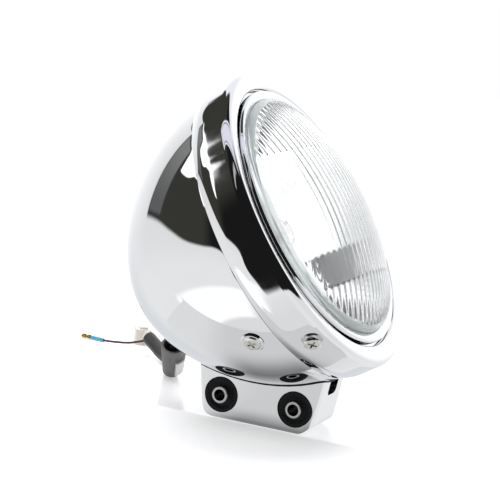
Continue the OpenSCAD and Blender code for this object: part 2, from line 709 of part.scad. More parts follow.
module bracket() {
    half = bracket_width / 2;
    stem = stem_r + bushing_fit;
    head = bushing_r + bushing_fit;
    color("gainsboro") difference() {
        bracket_block();
        in_lamp() bowl_body(pad_t);
        difference() {
            bracket_block(casting_wall);
            both_axes() {
                cylinder(r = stem + 2.4, h = bracket_width, center = true);
                for (s = [0, 1]) mirror([0, 0, s]) translate([0, 0, half - bushing_head - 2])
                    cylinder(r = head + 2, h = bushing_head + 3);
            }
            for (y = [-bracket_bolt_y, bracket_bolt_y]) translate([-seat_setback, y, foot_z])
                cylinder(r = bracket_bolt_r + 3, h = 40);
        }
        both_axes() {
            cylinder(r = stem, h = bracket_width + 2, center = true);
            for (s = [0, 1]) mirror([0, 0, s]) translate([0, 0, half - bushing_head]) cylinder(r = head, h = bushing_head + 1);
        }
        bracket_bolt_holes();
        front_notch();
    }
}

module bracket_pad() {
    color([0.12, 0.12, 0.12]) difference() {
        intersection() {
            bracket_block(0.3);
            in_lamp() bowl_body(pad_t);
        }
        in_lamp() bowl_body();
        bracket_bolt_holes();
    }
}

plate_top = seat_height + bowl_sheet + 4.6;
plate_half = 16;
module backing_plate() {
    color("silver") difference() {
        intersection() {
            translate([-seat_setback, 0, 0]) linear_extrude(plate_top)
                polygon(concat(
                    arc(-plate_half + 5, -plate_half + 5, 5, 180, 270, 4), arc(plate_half - 5, -plate_half + 5, 5, 270, 360, 4),
                    arc(plate_half - 5, plate_half - 5, 5, 0, 90, 4), arc(-plate_half + 5, plate_half - 5, 5, 90, 180, 4)));
            in_lamp() bowl_body(-bowl_sheet);
        }
        bracket_bolt_holes();
    }
}

bolt_washer_t = 1.4;
module at_bracket_bolts(z) {
    for (y = [-bracket_bolt_y, bracket_bolt_y]) translate([-seat_setback, y, z]) children();
}
module bracket_washers() {
    color("silver") at_bracket_bolts(plate_top) difference() {
        cylinder(r = bracket_bolt_r + 3.4, h = bolt_washer_t);
        translate([0, 0, -1]) cylinder(r = bracket_bolt_r + screw_fit, h = 4);
    }
}

module bracket_bolts() {
    seat = plate_top + bolt_washer_t;
    end = foot_z + casting_wall + 3;
    color("silver") {
        at_bracket_bolts(seat) rotate(30) cylinder(r = bracket_bolt_r + 2.6, h = 4, $fn = 6);
        at_bracket_bolts(end) cylinder(r = bracket_bolt_r, h = seat - end + eps);
    }
}

// Rubber bushing with a wide head, its head flush with the bracket's side
module bushing(x, side) {
    half = bracket_width / 2;
    bore = collar_r + bushing_fit;
    color([0.1, 0.1, 0.1]) translate([x, 0, 0]) rotate([-90 * side, 0, 0])
        lathe([[bore, bushing_gap / 2], [stem_r, bushing_gap / 2], [stem_r, half - bushing_head],
            [bushing_r, half - bushing_head], [bushing_r, half - 0.5], [bushing_r - 0.6, half],
            [bushing_r - 2, half], [collar_r + 1.8, half - 0.9], [bore, half - 0.9]]);
}
module bushing_front_left() { bushing(collar_pitch / 2, 1); }
module bushing_front_right() { bushing(collar_pitch / 2, -1); }
module bushing_rear_left() { bushing(-collar_pitch / 2, 1); }
module bushing_rear_right() { bushing(-collar_pitch / 2, -1); }

module collar(x) {
    reach = bracket_width / 2 + collar_proud;
    edge = 0.3;
    color("silver") translate([x, 0, 0]) rotate([90, 0, 0])
        lathe([[collar_bore_r, -reach], [collar_r - edge, -reach], [collar_r, -reach + edge],
            [collar_r, reach - edge], [collar_r - edge, reach], [collar_bore_r, reach]]);
}
module collar_front() { collar(collar_pitch / 2); }
module collar_rear() { collar(-collar_pitch / 2); }

// Wiring hole on the far side of the bowl's underside
hole_back = wiring_place * bowl_depth;
grommet_out = 3;
grommet_in = 4.5;
module at_wiring() { in_lamp() at_bowl(wiring_angle, hole_back) children(); }

module grommet() {
    plug_r = wiring_hole_r - 0.1;
    flange = wiring_hole_r + 2.6;
    color([0.1, 0.1, 0.1]) {
        difference() {
            at_wiring() lathe([[0, grommet_out], [wiring_hole_r, grommet_out], [flange, grommet_out - 1.6],
                [flange, -3], [0, -3]]);
            in_lamp() bowl_body(0.05);
        }
        at_wiring() lathe([[0, 1], [plug_r, 1], [plug_r, -bowl_sheet - 1.2], [plug_r + 1, -bowl_sheet - 1.7],
            [plug_r - 1, -bowl_sheet - grommet_in], [0, -bowl_sheet - grommet_in]]);
    }
}

// Leads in one bend from the grommet's inner face to the back of the bulb's socket, in the lamp's frame
inner_lead_d = 2.4;
lead_spacing = 2.6;
lead_bend = 10;
function turned(p, a) = [p[0] * cos(a) - p[1] * sin(a), p[0] * sin(a) + p[1] * cos(a), p[2]];
function bezier(p, t) =
    pow(1 - t, 3) * p[0] + 3 * pow(1 - t, 2) * t * p[1] + 3 * (1 - t) * t * t * p[2] + pow(t, 3) * p[3];
hole_in = turned([-cos(bowl_slope(hole_back)), 0, sin(bowl_slope(hole_back))], wiring_angle);
hole_at = turned([bowl_r_at(hole_back), 0, -rim_depth - hole_back], wiring_angle);
lead_start = hole_at + (bowl_sheet + grommet_in - 0.2) * hole_in;
lead_end = [0, 0, socket_back + 0.2];
lead_turns = [
    lead_start, lead_start + lead_bend * hole_in,
    lead_end + turned([0.8 * lead_bend, 0, -1.6 * lead_bend], wiring_angle), lead_end
];
inner_route = [for (i = [0:18]) bezier(lead_turns, i / 18)];
module inner_leads() {
    step = turned([0, lead_spacing, 0], wiring_angle);
    color("dimgray") in_lamp() for (k = [-1:1]) tube([for (p = inner_route) p + k * step], inner_lead_d);
}

sleeve_route = [
    [-68.6, 32.7, 31.5], [-72.1, 35.6, 26.2], [-76.3, 41.4, 22], [-81.4, 49.4, 18.4], [-87, 58, 13.8],
    [-93, 66.4, 7.4], [-98.8, 73.8, 0.4], [-105.2, 80.9, -6.2], [-112, 87.2, -9.9], [-120, 92.8, -9.2],
    [-128, 98, -6.1], [-136, 103, -2.9]
];
module wiring_sleeve() { color([0.16, 0.15, 0.15]) tube(sleeve_route, sleeve_d, 12); }

boot_route = [
    [-64.7, 26.8, 25.6], [-67.3, 28.9, 21.7], [-71, 31.2, 18.4], [-76, 33.8, 16.6], [-81.2, 36.8, 16.2],
    [-85.4, 39.6, 15.2], [-88.3, 42.2, 12.8], [-90, 45, 9], [-91.4, 48.5, 3.1], [-92.9, 52.1, -2.7]
];
module boot_lead() { color([0.1, 0.1, 0.1]) tube(boot_route, boot_lead_d); }

// Rubber cup at the boot lead's end, leaning on the edge of its closed end
boot_place = [-90, 45];
boot_lean = 33;
boot_turn = -68;
boot_r = 8;
boot_end_r = 6;
boot_edge = 2.5;
boot_l = 26.1;
boot_mouth = 14;
boot_z = foot_z + (boot_l - boot_edge) * cos(boot_lean) + (boot_end_r - boot_edge) * sin(boot_lean) + boot_edge;
module at_boot() {
    translate([boot_place[0], boot_place[1], boot_z]) rotate([0, boot_lean, boot_turn]) children();
}
function boot_wall(down) = boot_end_r + (boot_r - boot_end_r) * (boot_l - boot_edge - down) / (boot_l - boot_edge);

module wiring_boot() {
    color([0.3, 0.3, 0.3]) at_boot()
        lathe(concat(
            [[0, -boot_l]], arc(boot_end_r - boot_edge, -boot_l + boot_edge, boot_edge, 270, 360, 6),
            [[boot_r, 0], [boot_r - 1.5, 0], [boot_r - 1.9, -2], [boot_wall(boot_mouth) - 1.8, -boot_mouth],
             [0, -boot_mouth]]
        ));
}

// Pale clip hugging the cup's side
module boot_clip() {
    top = 10;
    end = 22;
    t = 1.6;
    color("whitesmoke") at_boot() intersection() {
        difference() {
            lathe([[0, -end], [boot_wall(end) + t, -end], [boot_wall(end) + t + 0.4, -end + 2],
                [boot_wall(top) + t, -top], [0, -top]]);
            lathe([[0, -end - 1], [boot_wall(end + 1), -end - 1], [boot_wall(top - 1), -top + 1], [0, -top + 1]]);
        }
        translate([0, 0, -end - 1]) linear_extrude(end) polygon([[0, 0], [14, 6], [14, 20], [-12, 20], [-12, 14]]);
    }
}

wire_route = [
    [-136.6, 103.4, -6.2], [-138.8, 104.5, -5.8], [-141.4, 104.3, -6.3], [-144.6, 102.2, -7.2],
    [-149.5, 98.8, -8.2], [-157.5, 95.2, -8.6], [-165.9, 92, -8.5]
];
module brown_wire() { color([0.3, 0.2, 0.18]) tube(wire_route, wire_d); }

// Crimped terminal on the brown wire, in line with its end
terminal_at = wire_route[len(wire_route) - 1];
terminal_turn = 169;
terminal_drop = 1.2;
module at_terminal(along = 0) {
    translate(terminal_at) rotate([0, 90 + terminal_drop, terminal_turn]) translate([0, 0, along]) children();
}
terminal_sleeve_l = 11;
module terminal_sleeve() {
    color("skyblue") at_terminal() difference() {
        lathe([[0, 0], [1.3, 0], [1.6, 0.5], [1.6, terminal_sleeve_l - 0.3], [1.4, terminal_sleeve_l], [0, terminal_sleeve_l]]);
        translate([0, 0, terminal_sleeve_l - 2.4]) cylinder(r = 1.05, h = 3);
    }
}
module bullet_terminal() {
    color([0.72, 0.58, 0.3]) at_terminal(terminal_sleeve_l - 2.4)
        lathe(concat([[0, 0], [1, 0], [1, 3.2], [1.9, 3.6], [1.9, 5.4], [1.3, 6], [1.3, 7], [1.9, 7.6]],
            arc(0, 9.6, 1.9, 0, 90, 6)));
}

connector_route = [
    [-134.8, 104.6, -1.9], [-137.5, 106.2, -1.2], [-140.6, 109.2, -1], [-144, 114.2, -2.4],
    [-147.4, 119.6, -5], [-150.4, 124.6, -7.6], [-153, 128.8, -8.7]
];
lead_d = 3;
module connector_lead() { color([0.9, 0.87, 0.78]) tube(connector_route, lead_d); }

connector_w = 11;
connector_l = 16;
connector_h = 13;
connector_turn = 122;
connector_at = connector_route[len(connector_route) - 1];
module cream_connector() {
    slot = [2.2, 7];
    color([0.93, 0.88, 0.75]) translate([connector_at[0], connector_at[1], foot_z]) rotate(connector_turn) difference() {
        union() {
            translate([0, -connector_w / 2, 0]) cube([connector_l, connector_w, connector_h - 1.6]);
            translate([2, -connector_w / 2 + 2.4, 0]) cube([connector_l - 4, connector_w - 4.8, connector_h]);
        }
        for (y = [-2.6, 2.6], z = [2.2, 7])
            translate([connector_l - slot[1], y - slot[0] / 2, z]) cube([slot[1] + 1, slot[0], 2.6]);
    }
}

rim();
trim_ring();
lens_glass();
lens_gasket();
reflector();
carrier_ring();
unit_screws();
pivot_clip();
aim_screws();
aim_springs();
aim_nuts();
bowl();
rim_tabs();
tab_nuts();
rim_screws();
trim_washers();
bulb_base();
bulb_glass();
bulb_shield();
bulb_filaments();
bulb_clip();
bulb_boot();
bulb_socket();
inner_leads();
grommet();
backing_plate();
bracket_bolts();
bracket_washers();
bracket_pad();
bracket();
bushing_front_left();
bushing_front_right();
bushing_rear_left();
bushing_rear_right();
collar_front();
collar_rear();
wiring_sleeve();
boot_lead();
wiring_boot();
boot_clip();
brown_wire();
terminal_sleeve();
bullet_terminal();
connector_lead();
cream_connector();
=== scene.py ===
"""Chrome motorcycle headlight on a white table, dressed round its CAD frame.

Sizes are in metres unless a name or comment says millimetres. The row frame has X forward,
Y to the lamp's left and Z up. The lamp frame has Z along the optical axis and X down.
"""

from math import atan2, cos, floor, hypot, pi, radians, sin, sqrt

import bmesh
import bpy
from mathutils import Euler, Matrix, Quaternion, Vector


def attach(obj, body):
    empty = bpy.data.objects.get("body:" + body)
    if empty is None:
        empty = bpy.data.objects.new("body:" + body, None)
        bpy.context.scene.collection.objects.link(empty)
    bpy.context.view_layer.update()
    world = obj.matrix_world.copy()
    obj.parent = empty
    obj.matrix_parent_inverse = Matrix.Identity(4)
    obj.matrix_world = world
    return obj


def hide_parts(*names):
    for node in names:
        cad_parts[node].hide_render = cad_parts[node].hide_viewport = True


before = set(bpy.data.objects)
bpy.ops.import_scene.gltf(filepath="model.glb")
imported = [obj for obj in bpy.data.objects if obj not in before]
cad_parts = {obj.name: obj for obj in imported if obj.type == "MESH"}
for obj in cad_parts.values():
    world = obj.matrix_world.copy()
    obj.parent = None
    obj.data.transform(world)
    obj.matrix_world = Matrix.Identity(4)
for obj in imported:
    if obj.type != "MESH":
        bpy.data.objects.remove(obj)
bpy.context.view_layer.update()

MM = 0.001
FLOOR_Z = -15.2 * MM

# Stance and main sections of the lamp, in millimetres, as in the CAD
TILT = 33.2
LIP_CENTRE = (16.481, 0, 113.661)
LIP_R = 84.2
RIM_R = 96.9
RIM_REAR_R = 94.7
RIM_DEPTH = 23.4
REAR_BEND = 12
SHOULDER_R = 5
SHOULDER_RISE = 3
LIP_ROLL = 2.2
ROLL_Z = -0.4
LIP_RETURN = 1.5
RIM_SHEET = 0.7
BOWL_R = 93.8
BOWL_DEPTH = 105
BOWL_FULLNESS = 1.77
BOWL_ROUNDNESS = 1.59
BOWL_FRONT = -15.4
BOWL_SHEET = 1.2
BOWL_CURL = 1.5

LAMP = Matrix.Translation(Vector(LIP_CENTRE) * MM) @ Matrix.Rotation(radians(90 - TILT), 4, "Y")


def add_object(name, data):
    made = bpy.data.objects.new(name, data)
    bpy.context.collection.objects.link(made)
    return made


# Camera at the photograph's viewpoint; angles in degrees, lens and sensor in millimetres

CAMERA_PLACE = (0.3417, -0.88572, 0.22476)
CAMERA_DOWN = 8.19
CAMERA_TURN = 22.45
CAMERA_ROLL = 6.19
CAMERA_LENS = 114.26
CAMERA_SENSOR = 36
CAMERA_NEAR = 0.05
CAMERA_FAR = 50


def make_camera():
    data = bpy.data.cameras.new("camera")
    data.lens = CAMERA_LENS
    data.sensor_width = CAMERA_SENSOR
    data.clip_start = CAMERA_NEAR
    data.clip_end = CAMERA_FAR
    camera = add_object("camera", data)
    camera.location = CAMERA_PLACE
    camera.rotation_mode = "QUATERNION"
    level = Euler((radians(90 - CAMERA_DOWN), 0, radians(CAMERA_TURN))).to_quaternion()
    camera.rotation_quaternion = level @ Quaternion((0, 0, 1), radians(CAMERA_ROLL))
    bpy.context.scene.camera = camera


# Node trees

class Nodes:
    """Short calls for one node tree."""

    def __init__(self, tree):
        self.tree = tree
        tree.nodes.clear()

    def plug(self, socket, value):
        if isinstance(value, bpy.types.NodeSocket):
            self.tree.links.new(value, socket)
        else:
            socket.default_value = value

    def add(self, kind, settings=None, **inputs):
        """A node whose inputs are named with underscores for spaces."""
        node = self.tree.nodes.new("ShaderNode" + kind)
        for name, value in (settings or {}).items():
            setattr(node, name, value)
        for name, value in inputs.items():
            self.plug(node.inputs[name.replace("_", " ")], value)
        return node

    def math(self, operation, *values, kind="Math"):
        node = self.add(kind, {"operation": operation})
        for socket, value in zip(node.inputs, values):
            self.plug(socket, value)
        return node.outputs

    def plus(self, first, second):
        return self.math("ADD", first, second)[0]

    def minus(self, first, second):
        return self.math("SUBTRACT", first, second)[0]

    def over(self, first, second):
        return self.math("DIVIDE", first, second)[0]

    def larger(self, first, second):
        return self.math("MAXIMUM", first, second)[0]

    def times(self, first, *others):
        product = first
        for other in others:
            product = self.math("MULTIPLY", product, other)[0]
        return product

    def length(self, first, second):
        squares = self.plus(self.times(first, first), self.times(second, second))
        return self.math("POWER", squares, 0.5)[0]

    def step(self, value, low, high, start=0.0, finish=1.0):
        """Smooth change from start to finish as value goes from low to high."""
        node = self.add("MapRange", {"interpolation_type": "SMOOTHSTEP"}, Value=value)
        for name, number in zip(("From Min", "From Max", "To Min", "To Max"), (low, high, start, finish)):
            node.inputs[name].default_value = number
        return node.outputs["Result"]

    def between(self, value, low, high, soft):
        """1 where value lies from low to high, with soft ends."""
        rise = self.step(value, low - soft, low + soft)
        fall = self.step(value, high - soft, high + soft, 1.0, 0.0)
        return self.times(rise, fall)

    def window(self, turn, rise, edges, soft_turn, soft_rise):
        """1 between the left, right, low and high edge."""
        left, right, low, high = edges
        sideways = self.between(turn, left, right, soft_turn)
        return self.times(sideways, self.between(rise, low, high, soft_rise))

    def curve(self, value, points):
        """Smooth curve through given points, in degrees from -180 to 180 on both axes."""
        node = self.add("FloatCurve", Value=self.over(self.minus(value, -180), 360))
        line = node.mapping.curves[0]
        placed = [((x + 180) / 360, (y + 180) / 360) for x, y in points]
        line.points[0].location = placed[0]
        line.points[1].location = placed[-1]
        for spot in placed[1:-1]:
            line.points.new(*spot)
        for point in line.points:
            point.handle_type = "AUTO_CLAMPED"
        node.mapping.update()
        return self.plus(self.times(node.outputs[0], 360), -180)

    def mix(self, share, first, second):
        """Colour between first and second."""
        node = self.add("Mix", {"data_type": "RGBA", "clamp_factor": True})
        self.plug(node.inputs[0], share)
        self.plug(node.inputs[6], first)
        self.plug(node.inputs[7], second)
        return node.outputs[2]

    def noise(self, where, scale, detail=3.0, roughness=0.55):
        node = self.add("TexNoise", Vector=where, Scale=scale, Detail=detail, Roughness=roughness)
        return node.outputs["Fac"]

    def bump(self, height, distance, normal=None):
        node = self.add("Bump", Height=height, Distance=distance)
        if normal is not None:
            self.plug(node.inputs["Normal"], normal)
        return node.outputs["Normal"]

    def blend_shaders(self, share, first, second):
        node = self.add("MixShader", Fac=share)
        self.plug(node.inputs[1], first.outputs[0])
        self.plug(node.inputs[2], second.outputs[0])
        return node


# Studio: a pale table, a white surround, and the dark room on the camera's side.
# Places in it are compass directions and heights in degrees; 0 is towards -Y and 90 towards +X.

WHITE = (1.0, 1.0, 1.0, 1.0)

TABLE_BELOW = (0.84, 0.845, 0.85, 1)
TABLE_MIDDLE = (0.93, 0.935, 0.935, 1)
TABLE_FAR = (0.86, 0.865, 0.865, 1)
TABLE_LEFT = (0.77, 0.79, 0.82, 1)
WALL_BEHIND = (1.25, 1.26, 1.28, 1)
TABLE_POOL = (1.22, 1.23, 1.25, 1)
WALL_HIGH = (1.0, 1.01, 1.07, 1)
LAMP_SHADE = (0.12, 0.12, 0.12, 1)
SHADE_SHARE = 0.6

ROOM_WARM = (0.043, 0.042, 0.036, 1)
ROOM_BLACK = (0.011, 0.011, 0.011, 1)
PANEL_FRAME = (0.045, 0.046, 0.05, 1)
PANEL_LOW = (0.13, 0.13, 0.13, 1)
PANEL_HIGH = (0.25, 0.25, 0.25, 1)
GAP_TONE = (1.5, 1.5, 1.5, 1)
LAMP_FRAME = (1.1, 1.1, 1.12, 1)
LAMP_LINE = (0.3, 0.3, 0.33, 1)
LAMP_FACE = (0.86, 0.85, 1.0, 1)
STRIP_TONE = (0.5, 0.5, 0.5, 1)

TENT_LEFT = (0.55, 0.56, 0.57, 1)
TENT_RIGHT = (1.25, 1.25, 1.25, 1)
TENT_BEHIND = (1.3, 1.3, 1.3, 1)
TENT_LOW = (0.98, 0.99, 0.995, 1)
TENT_CEILING = (0.025, 0.027, 0.033, 1)

# Lower edge of the dark room
ROOM_EDGE = [
    (-180, -3), (-107, -4), (-88, -5), (-75, -8), (-60, -12), (-45, -13), (-32, -12), (-24, -13),
    (-19.5, -17), (-16, -27), (-8, -36), (-4, -41), (2, -45), (15, -38), (30, -29), (45, -17),
    (60, -6), (75, 2), (90, 8), (105, 14), (120, 18), (135, 23), (150, 32), (180, 40),
]

# Height above which the room is dark to the left of its border
ROOM_LEFT = [
    (-180, 57), (-140, 57), (-134, 45), (-130.5, 24), (-127, 25), (-124, 26.3), (-118, 26.6),
    (-112, 28.3), (-106.5, 30.5), (-103, 31), (180, 31),
]
ROOM_LEFT_BORDER = (-106.2, -104.2)
ROOM_RIGHT_BORDER = (150, 132)
CEILING_BORDER = (53, 57)

# Lower and upper edge of the bright gap in the dark room
GAP_LOW = [
    (-180, 90), (-112, 60), (-106, 31.6), (-96, 31.6), (-89, 31.6), (-86, 29), (-84, 19),
    (-77, 19.5), (-72, 20.5), (-68, 22.5), (-65, 24.5), (-60, 24.6), (-56, 22), (-52, 18.8),
    (-47, 14.8), (-43, 12.5), (-36, 30), (-26, 90), (180, 90),
]
GAP_HIGH = [
    (-180, -90), (-112, 28), (-105, 31.6), (-96, 32.6), (-89, 33.6), (-82, 33.4), (-77, 33),
    (-75, 32), (-72, 31), (-70, 30.6), (-66, 29.8), (-64, 28.7), (-59, 27.2), (-56, 25.2),
    (-52, 22.5), (-47, 17.5), (-43, 12.5), (-36, 0), (-26, -90), (180, -90),
]
EDGE_SOFT = 1.2
BORDER_SOFT = 0.4

# Left, right, low and high edge of the grey standing panel and of its darker frame
PANEL_EDGES = (-104, -88.5, -2, 30)
PANEL_FRAME_EDGES = (-107, -86.5, -3, 31.5)

# Overhead lamp, measured across and along its length on the sphere of directions: near and far edge across,
# near and far edge along, the heights between which it fades in, and its colour, from the frame to the face
LAMP_TURN = (0.866, 0.5)
LAMP_BOW = 0.33
LAMP_SOFT = 0.012
LAMP_END_SOFT = 0.02
LAMP_LAYERS = [
    ((-0.19, 0.16), (-0.86, 0.6), (35.5, 36.5), LAMP_FRAME),
    ((-0.165, 0.135), (-0.83, 0.57), (40, 41), LAMP_LINE),
    ((-0.14, 0.11), (-0.8, 0.54), (43, 44), LAMP_FACE),
]

# Strip light, measured on a flat ceiling one unit above the lamp
STRIP_TURN = (0.838, 0.544)
STRIP_ACROSS = (0.36, 0.48)
STRIP_ALONG = (0.0, 1.6)
STRIP_SOFT = 0.03
STRIP_END_SOFT = 0.1
STRIP_START = (20, 25)
STRIP_LOWEST = 0.05

# Left border, by height, of the dark ceiling patch that the reflector shows
TENT_CEILING_LEFT = [
    (-180, 64), (50, 64), (58, 67), (67, 72), (75, 85), (78, 100), (82, 135), (84, 150), (180, 150),
]
TENT_CEILING_LEAN = 0.3


def surround_tone(n, turn, rise):
    """Table and white surround, brighter behind the lamp."""
    tone = n.mix(n.step(rise, -66, -34), TABLE_BELOW, TABLE_MIDDLE)
    tone = n.mix(n.step(rise, -26, -8), tone, TABLE_FAR)
    tone = n.mix(n.step(turn, -112, -136), tone, TABLE_LEFT)
    behind = n.larger(n.step(turn, -100, -150), n.step(turn, 120, 165))
    tone = n.mix(n.times(behind, n.step(rise, -25, 5)), tone, WALL_BEHIND)

    # Light pool on the table
    pool = n.times(n.between(rise, -59.5, -37.5, 1.8), n.step(turn, -88, -83), n.step(turn, 4, -14))
    tone = n.mix(pool, tone, TABLE_POOL)

    # Softer light from high behind the lamp, and the lamp's own shade on the table under it
    tone = n.mix(n.step(rise, 24, 42), tone, WALL_HIGH)
    shade_under = n.times(n.step(turn, -124, -165), n.step(rise, -48, -62))
    return n.mix(n.times(shade_under, SHADE_SHARE), tone, LAMP_SHADE)


def room_tone(n, way, turn, rise):
    """Dark room with what stands and hangs in it."""
    tone = n.mix(n.step(turn, -46, -32), ROOM_WARM, ROOM_BLACK)
    tone = n.mix(n.window(turn, rise, PANEL_FRAME_EDGES, 0.8, 1), tone, PANEL_FRAME)
    panel = n.mix(n.step(rise, 0, 30), PANEL_LOW, PANEL_HIGH)
    tone = n.mix(n.window(turn, rise, PANEL_EDGES, 0.7, 1), tone, panel)

    low = n.minus(rise, n.curve(turn, GAP_LOW))
    high = n.minus(n.curve(turn, GAP_HIGH), rise)
    gap = n.times(n.step(low, -BORDER_SOFT, BORDER_SOFT), n.step(high, -BORDER_SOFT, BORDER_SOFT))
    tone = n.mix(gap, tone, GAP_TONE)

    long, short = LAMP_TURN
    along = n.plus(n.times(way["X"], long), n.times(way["Y"], short))
    across = n.minus(n.times(way["Y"], long), n.times(way["X"], short))
    bowed = n.minus(across, n.times(n.times(along, along), LAMP_BOW))
    for width, length, start, colour in LAMP_LAYERS:
        face = n.times(n.between(bowed, *width, LAMP_SOFT), n.between(along, *length, LAMP_END_SOFT))
        tone = n.mix(n.times(face, n.step(rise, *start)), tone, colour)

    long, short = STRIP_TURN
    height = n.larger(way["Z"], STRIP_LOWEST)
    side = n.over(way["X"], height)
    ahead = n.over(way["Y"], height)
    across = n.minus(n.times(side, long), n.times(ahead, short))
    along = n.plus(n.times(side, -short), n.times(ahead, -long))
    ends = n.between(along, *STRIP_ALONG, STRIP_END_SOFT)
    strip = n.times(n.between(across, *STRIP_ACROSS, STRIP_SOFT), ends, n.step(rise, *STRIP_START))
    return n.mix(strip, tone, STRIP_TONE)


def room_share(n, turn, rise):
    """1 towards the dark room and the dark ceiling."""
    above_edge = n.minus(rise, n.curve(turn, ROOM_EDGE))
    above_left = n.minus(rise, n.curve(turn, ROOM_LEFT))
    left = n.larger(n.step(turn, *ROOM_LEFT_BORDER), n.step(above_left, -BORDER_SOFT, BORDER_SOFT))
    room = n.times(n.step(above_edge, -EDGE_SOFT, EDGE_SOFT), left, n.step(turn, *ROOM_RIGHT_BORDER))
    return n.larger(room, n.step(rise, *CEILING_BORDER))


def tent_tone(n, turn, rise):
    """Wide tent in front of the lamp, for the light that reaches the reflector through the glass."""
    tone = n.mix(n.step(turn, 36, 50), TENT_LEFT, TENT_RIGHT)
    tone = n.mix(n.step(turn, -100, -125), tone, TENT_BEHIND)
    tone = n.mix(n.step(rise, -12, -2), TENT_LOW, tone)
    past_left = n.minus(turn, n.curve(rise, TENT_CEILING_LEFT))
    leaning = n.minus(rise, n.times(turn, TENT_CEILING_LEAN))
    ceiling = n.times(
        n.step(turn, 29, 34), n.step(past_left, 2, -2), n.step(leaning, 39, 41), n.step(rise, 84.5, 83.5),
    )
    return n.mix(ceiling, tone, TENT_CEILING)


def make_studio_light():
    world = bpy.data.worlds.new("studio")
    bpy.context.scene.world = world
    world.use_nodes = True
    n = Nodes(world.node_tree)
    way = n.add("SeparateXYZ", Vector=n.add("TexCoord").outputs["Generated"]).outputs
    backward = n.times(way["Y"], -1.0)
    turn = n.math("DEGREES", n.math("ARCTAN2", way["X"], backward)[0])[0]
    rise = n.math("DEGREES", n.math("ARCSINE", way["Z"])[0])[0]
    seen = n.mix(room_share(n, turn, rise), surround_tone(n, turn, rise), room_tone(n, way, turn, rise))
    path = n.add("LightPath").outputs
    through = n.step(path["Transmission Depth"], 0.4, 0.6)
    seen = n.mix(through, seen, tent_tone(n, turn, rise))

    # The backdrop itself is plain white
    studio = n.add("Background", Color=seen, Strength=1.0)
    backdrop = n.add("Background", Color=WHITE, Strength=1.0)
    both = n.blend_shaders(path["Is Camera Ray"], studio, backdrop)
    n.add("OutputWorld", Surface=both.outputs[0])


def make_soft_light(name, place, aim, size, power):
    data = bpy.data.lights.new(name, "AREA")
    data.shape = "RECTANGLE"
    data.size = size
    data.size_y = size
    data.energy = power
    light = add_object(name, data)
    light.location = place
    light.rotation_mode = "QUATERNION"
    light.rotation_quaternion = (Vector(aim) - Vector(place)).to_track_quat("-Z", "Y")
    light.visible_glossy = False
    light.visible_transmission = False


TABLE_HALF = 6.0
TABLE_WHITE = (0.86, 0.86, 0.87, 1)
TABLE_GLOW = 0.37
SWEEP_GLOW = 0.85
SWEEP_START = 0.25
SWEEP_FULL = 0.8


def make_stage_piece(name, corners, faces):
    mesh = bpy.data.meshes.new(name)
    mesh.from_pydata(corners, [], faces)
    material = bpy.data.materials.new(name)
    material.use_nodes = True
    mesh.materials.append(material)
    n = Nodes(material.node_tree)
    return add_object(name, mesh), n, n.add("TexCoord").outputs["Object"]


def make_table():
    """Polished white table that turns into a matt white sweep away from the lamp."""
    half = TABLE_HALF
    corners = [(x, y, FLOOR_Z) for x, y in ((-half, -half), (half, -half), (half, half), (-half, half))]
    table, n, where = make_stage_piece("table", corners, [(0, 1, 2, 3)])
    sheen = n.step(n.noise(where, 9.0), 0.3, 0.7, 0.11, 0.15)
    top = n.add(
        "BsdfPrincipled", Base_Color=TABLE_WHITE, Roughness=sheen, IOR=1.5,
        Emission_Color=WHITE, Emission_Strength=TABLE_GLOW,
    )
    sweep = n.add(
        "BsdfPrincipled", Base_Color=TABLE_WHITE, Roughness=1.0, Specular_IOR_Level=0.0,
        Emission_Color=WHITE, Emission_Strength=SWEEP_GLOW,
    )
    spot = n.add("SeparateXYZ", Vector=where).outputs
    reach = n.step(n.length(spot["X"], spot["Y"]), SWEEP_START, SWEEP_FULL)
    n.add("OutputMaterial", Surface=n.blend_shaders(reach, top, sweep).outputs[0])
    table.visible_glossy = False


CARD_LEFT = -0.12
CARD_RIGHT = 0.15
CARD_NEAR = -20 * MM
CARD_FAR = -95 * MM
CARD_LOW = -15 * MM
CARD_HIGH = 1 * MM
CARD_LIGHT = (0.84, 0.845, 0.85, 1)
CARD_GREY = (0.71, 0.715, 0.72, 1)
CARD_SHADE = (0.15, 0.152, 0.152, 1)
CARD_SHADE_X = 0.012
CARD_SHADE_SHARE = 0.85


def make_near_table():
    """Low glowing card that gives the bracket's face the table it mirrors, with a painted shadow under the
    bracket; the camera doesn't see it.
    """
    corners = [
        (CARD_LEFT, CARD_NEAR, CARD_LOW), (CARD_RIGHT, CARD_NEAR, CARD_LOW),
        (CARD_RIGHT, CARD_FAR, CARD_LOW), (CARD_LEFT, CARD_FAR, CARD_LOW),
        (CARD_RIGHT, CARD_FAR, CARD_HIGH), (CARD_LEFT, CARD_FAR, CARD_HIGH),
    ]
    card, n, where = make_stage_piece("near_table", corners, [(0, 1, 2, 3), (3, 2, 4, 5)])
    place = n.add("SeparateXYZ", Vector=where).outputs
    tone = n.mix(n.step(place["X"], -0.07, -0.02), CARD_LIGHT, CARD_GREY)
    # Painted shadow of the lamp on the card, under the bracket
    along = n.minus(place["Z"], place["Y"])
    beside = n.math("ABSOLUTE", n.minus(place["X"], CARD_SHADE_X))[0]
    shaded = n.times(n.step(beside, 0.055, 0.02), n.step(along, 0.05, CARD_LOW - CARD_NEAR))
    tone = n.mix(n.times(shaded, CARD_SHADE_SHARE), tone, CARD_SHADE)
    n.add("OutputMaterial", Surface=n.add("Emission", Color=tone, Strength=1.0).outputs[0])
    card.visible_camera = False
    card.visible_diffuse = False
    card.visible_transmission = False
    card.visible_shadow = False


# Meshes

SHARP_ANGLE = 32.0


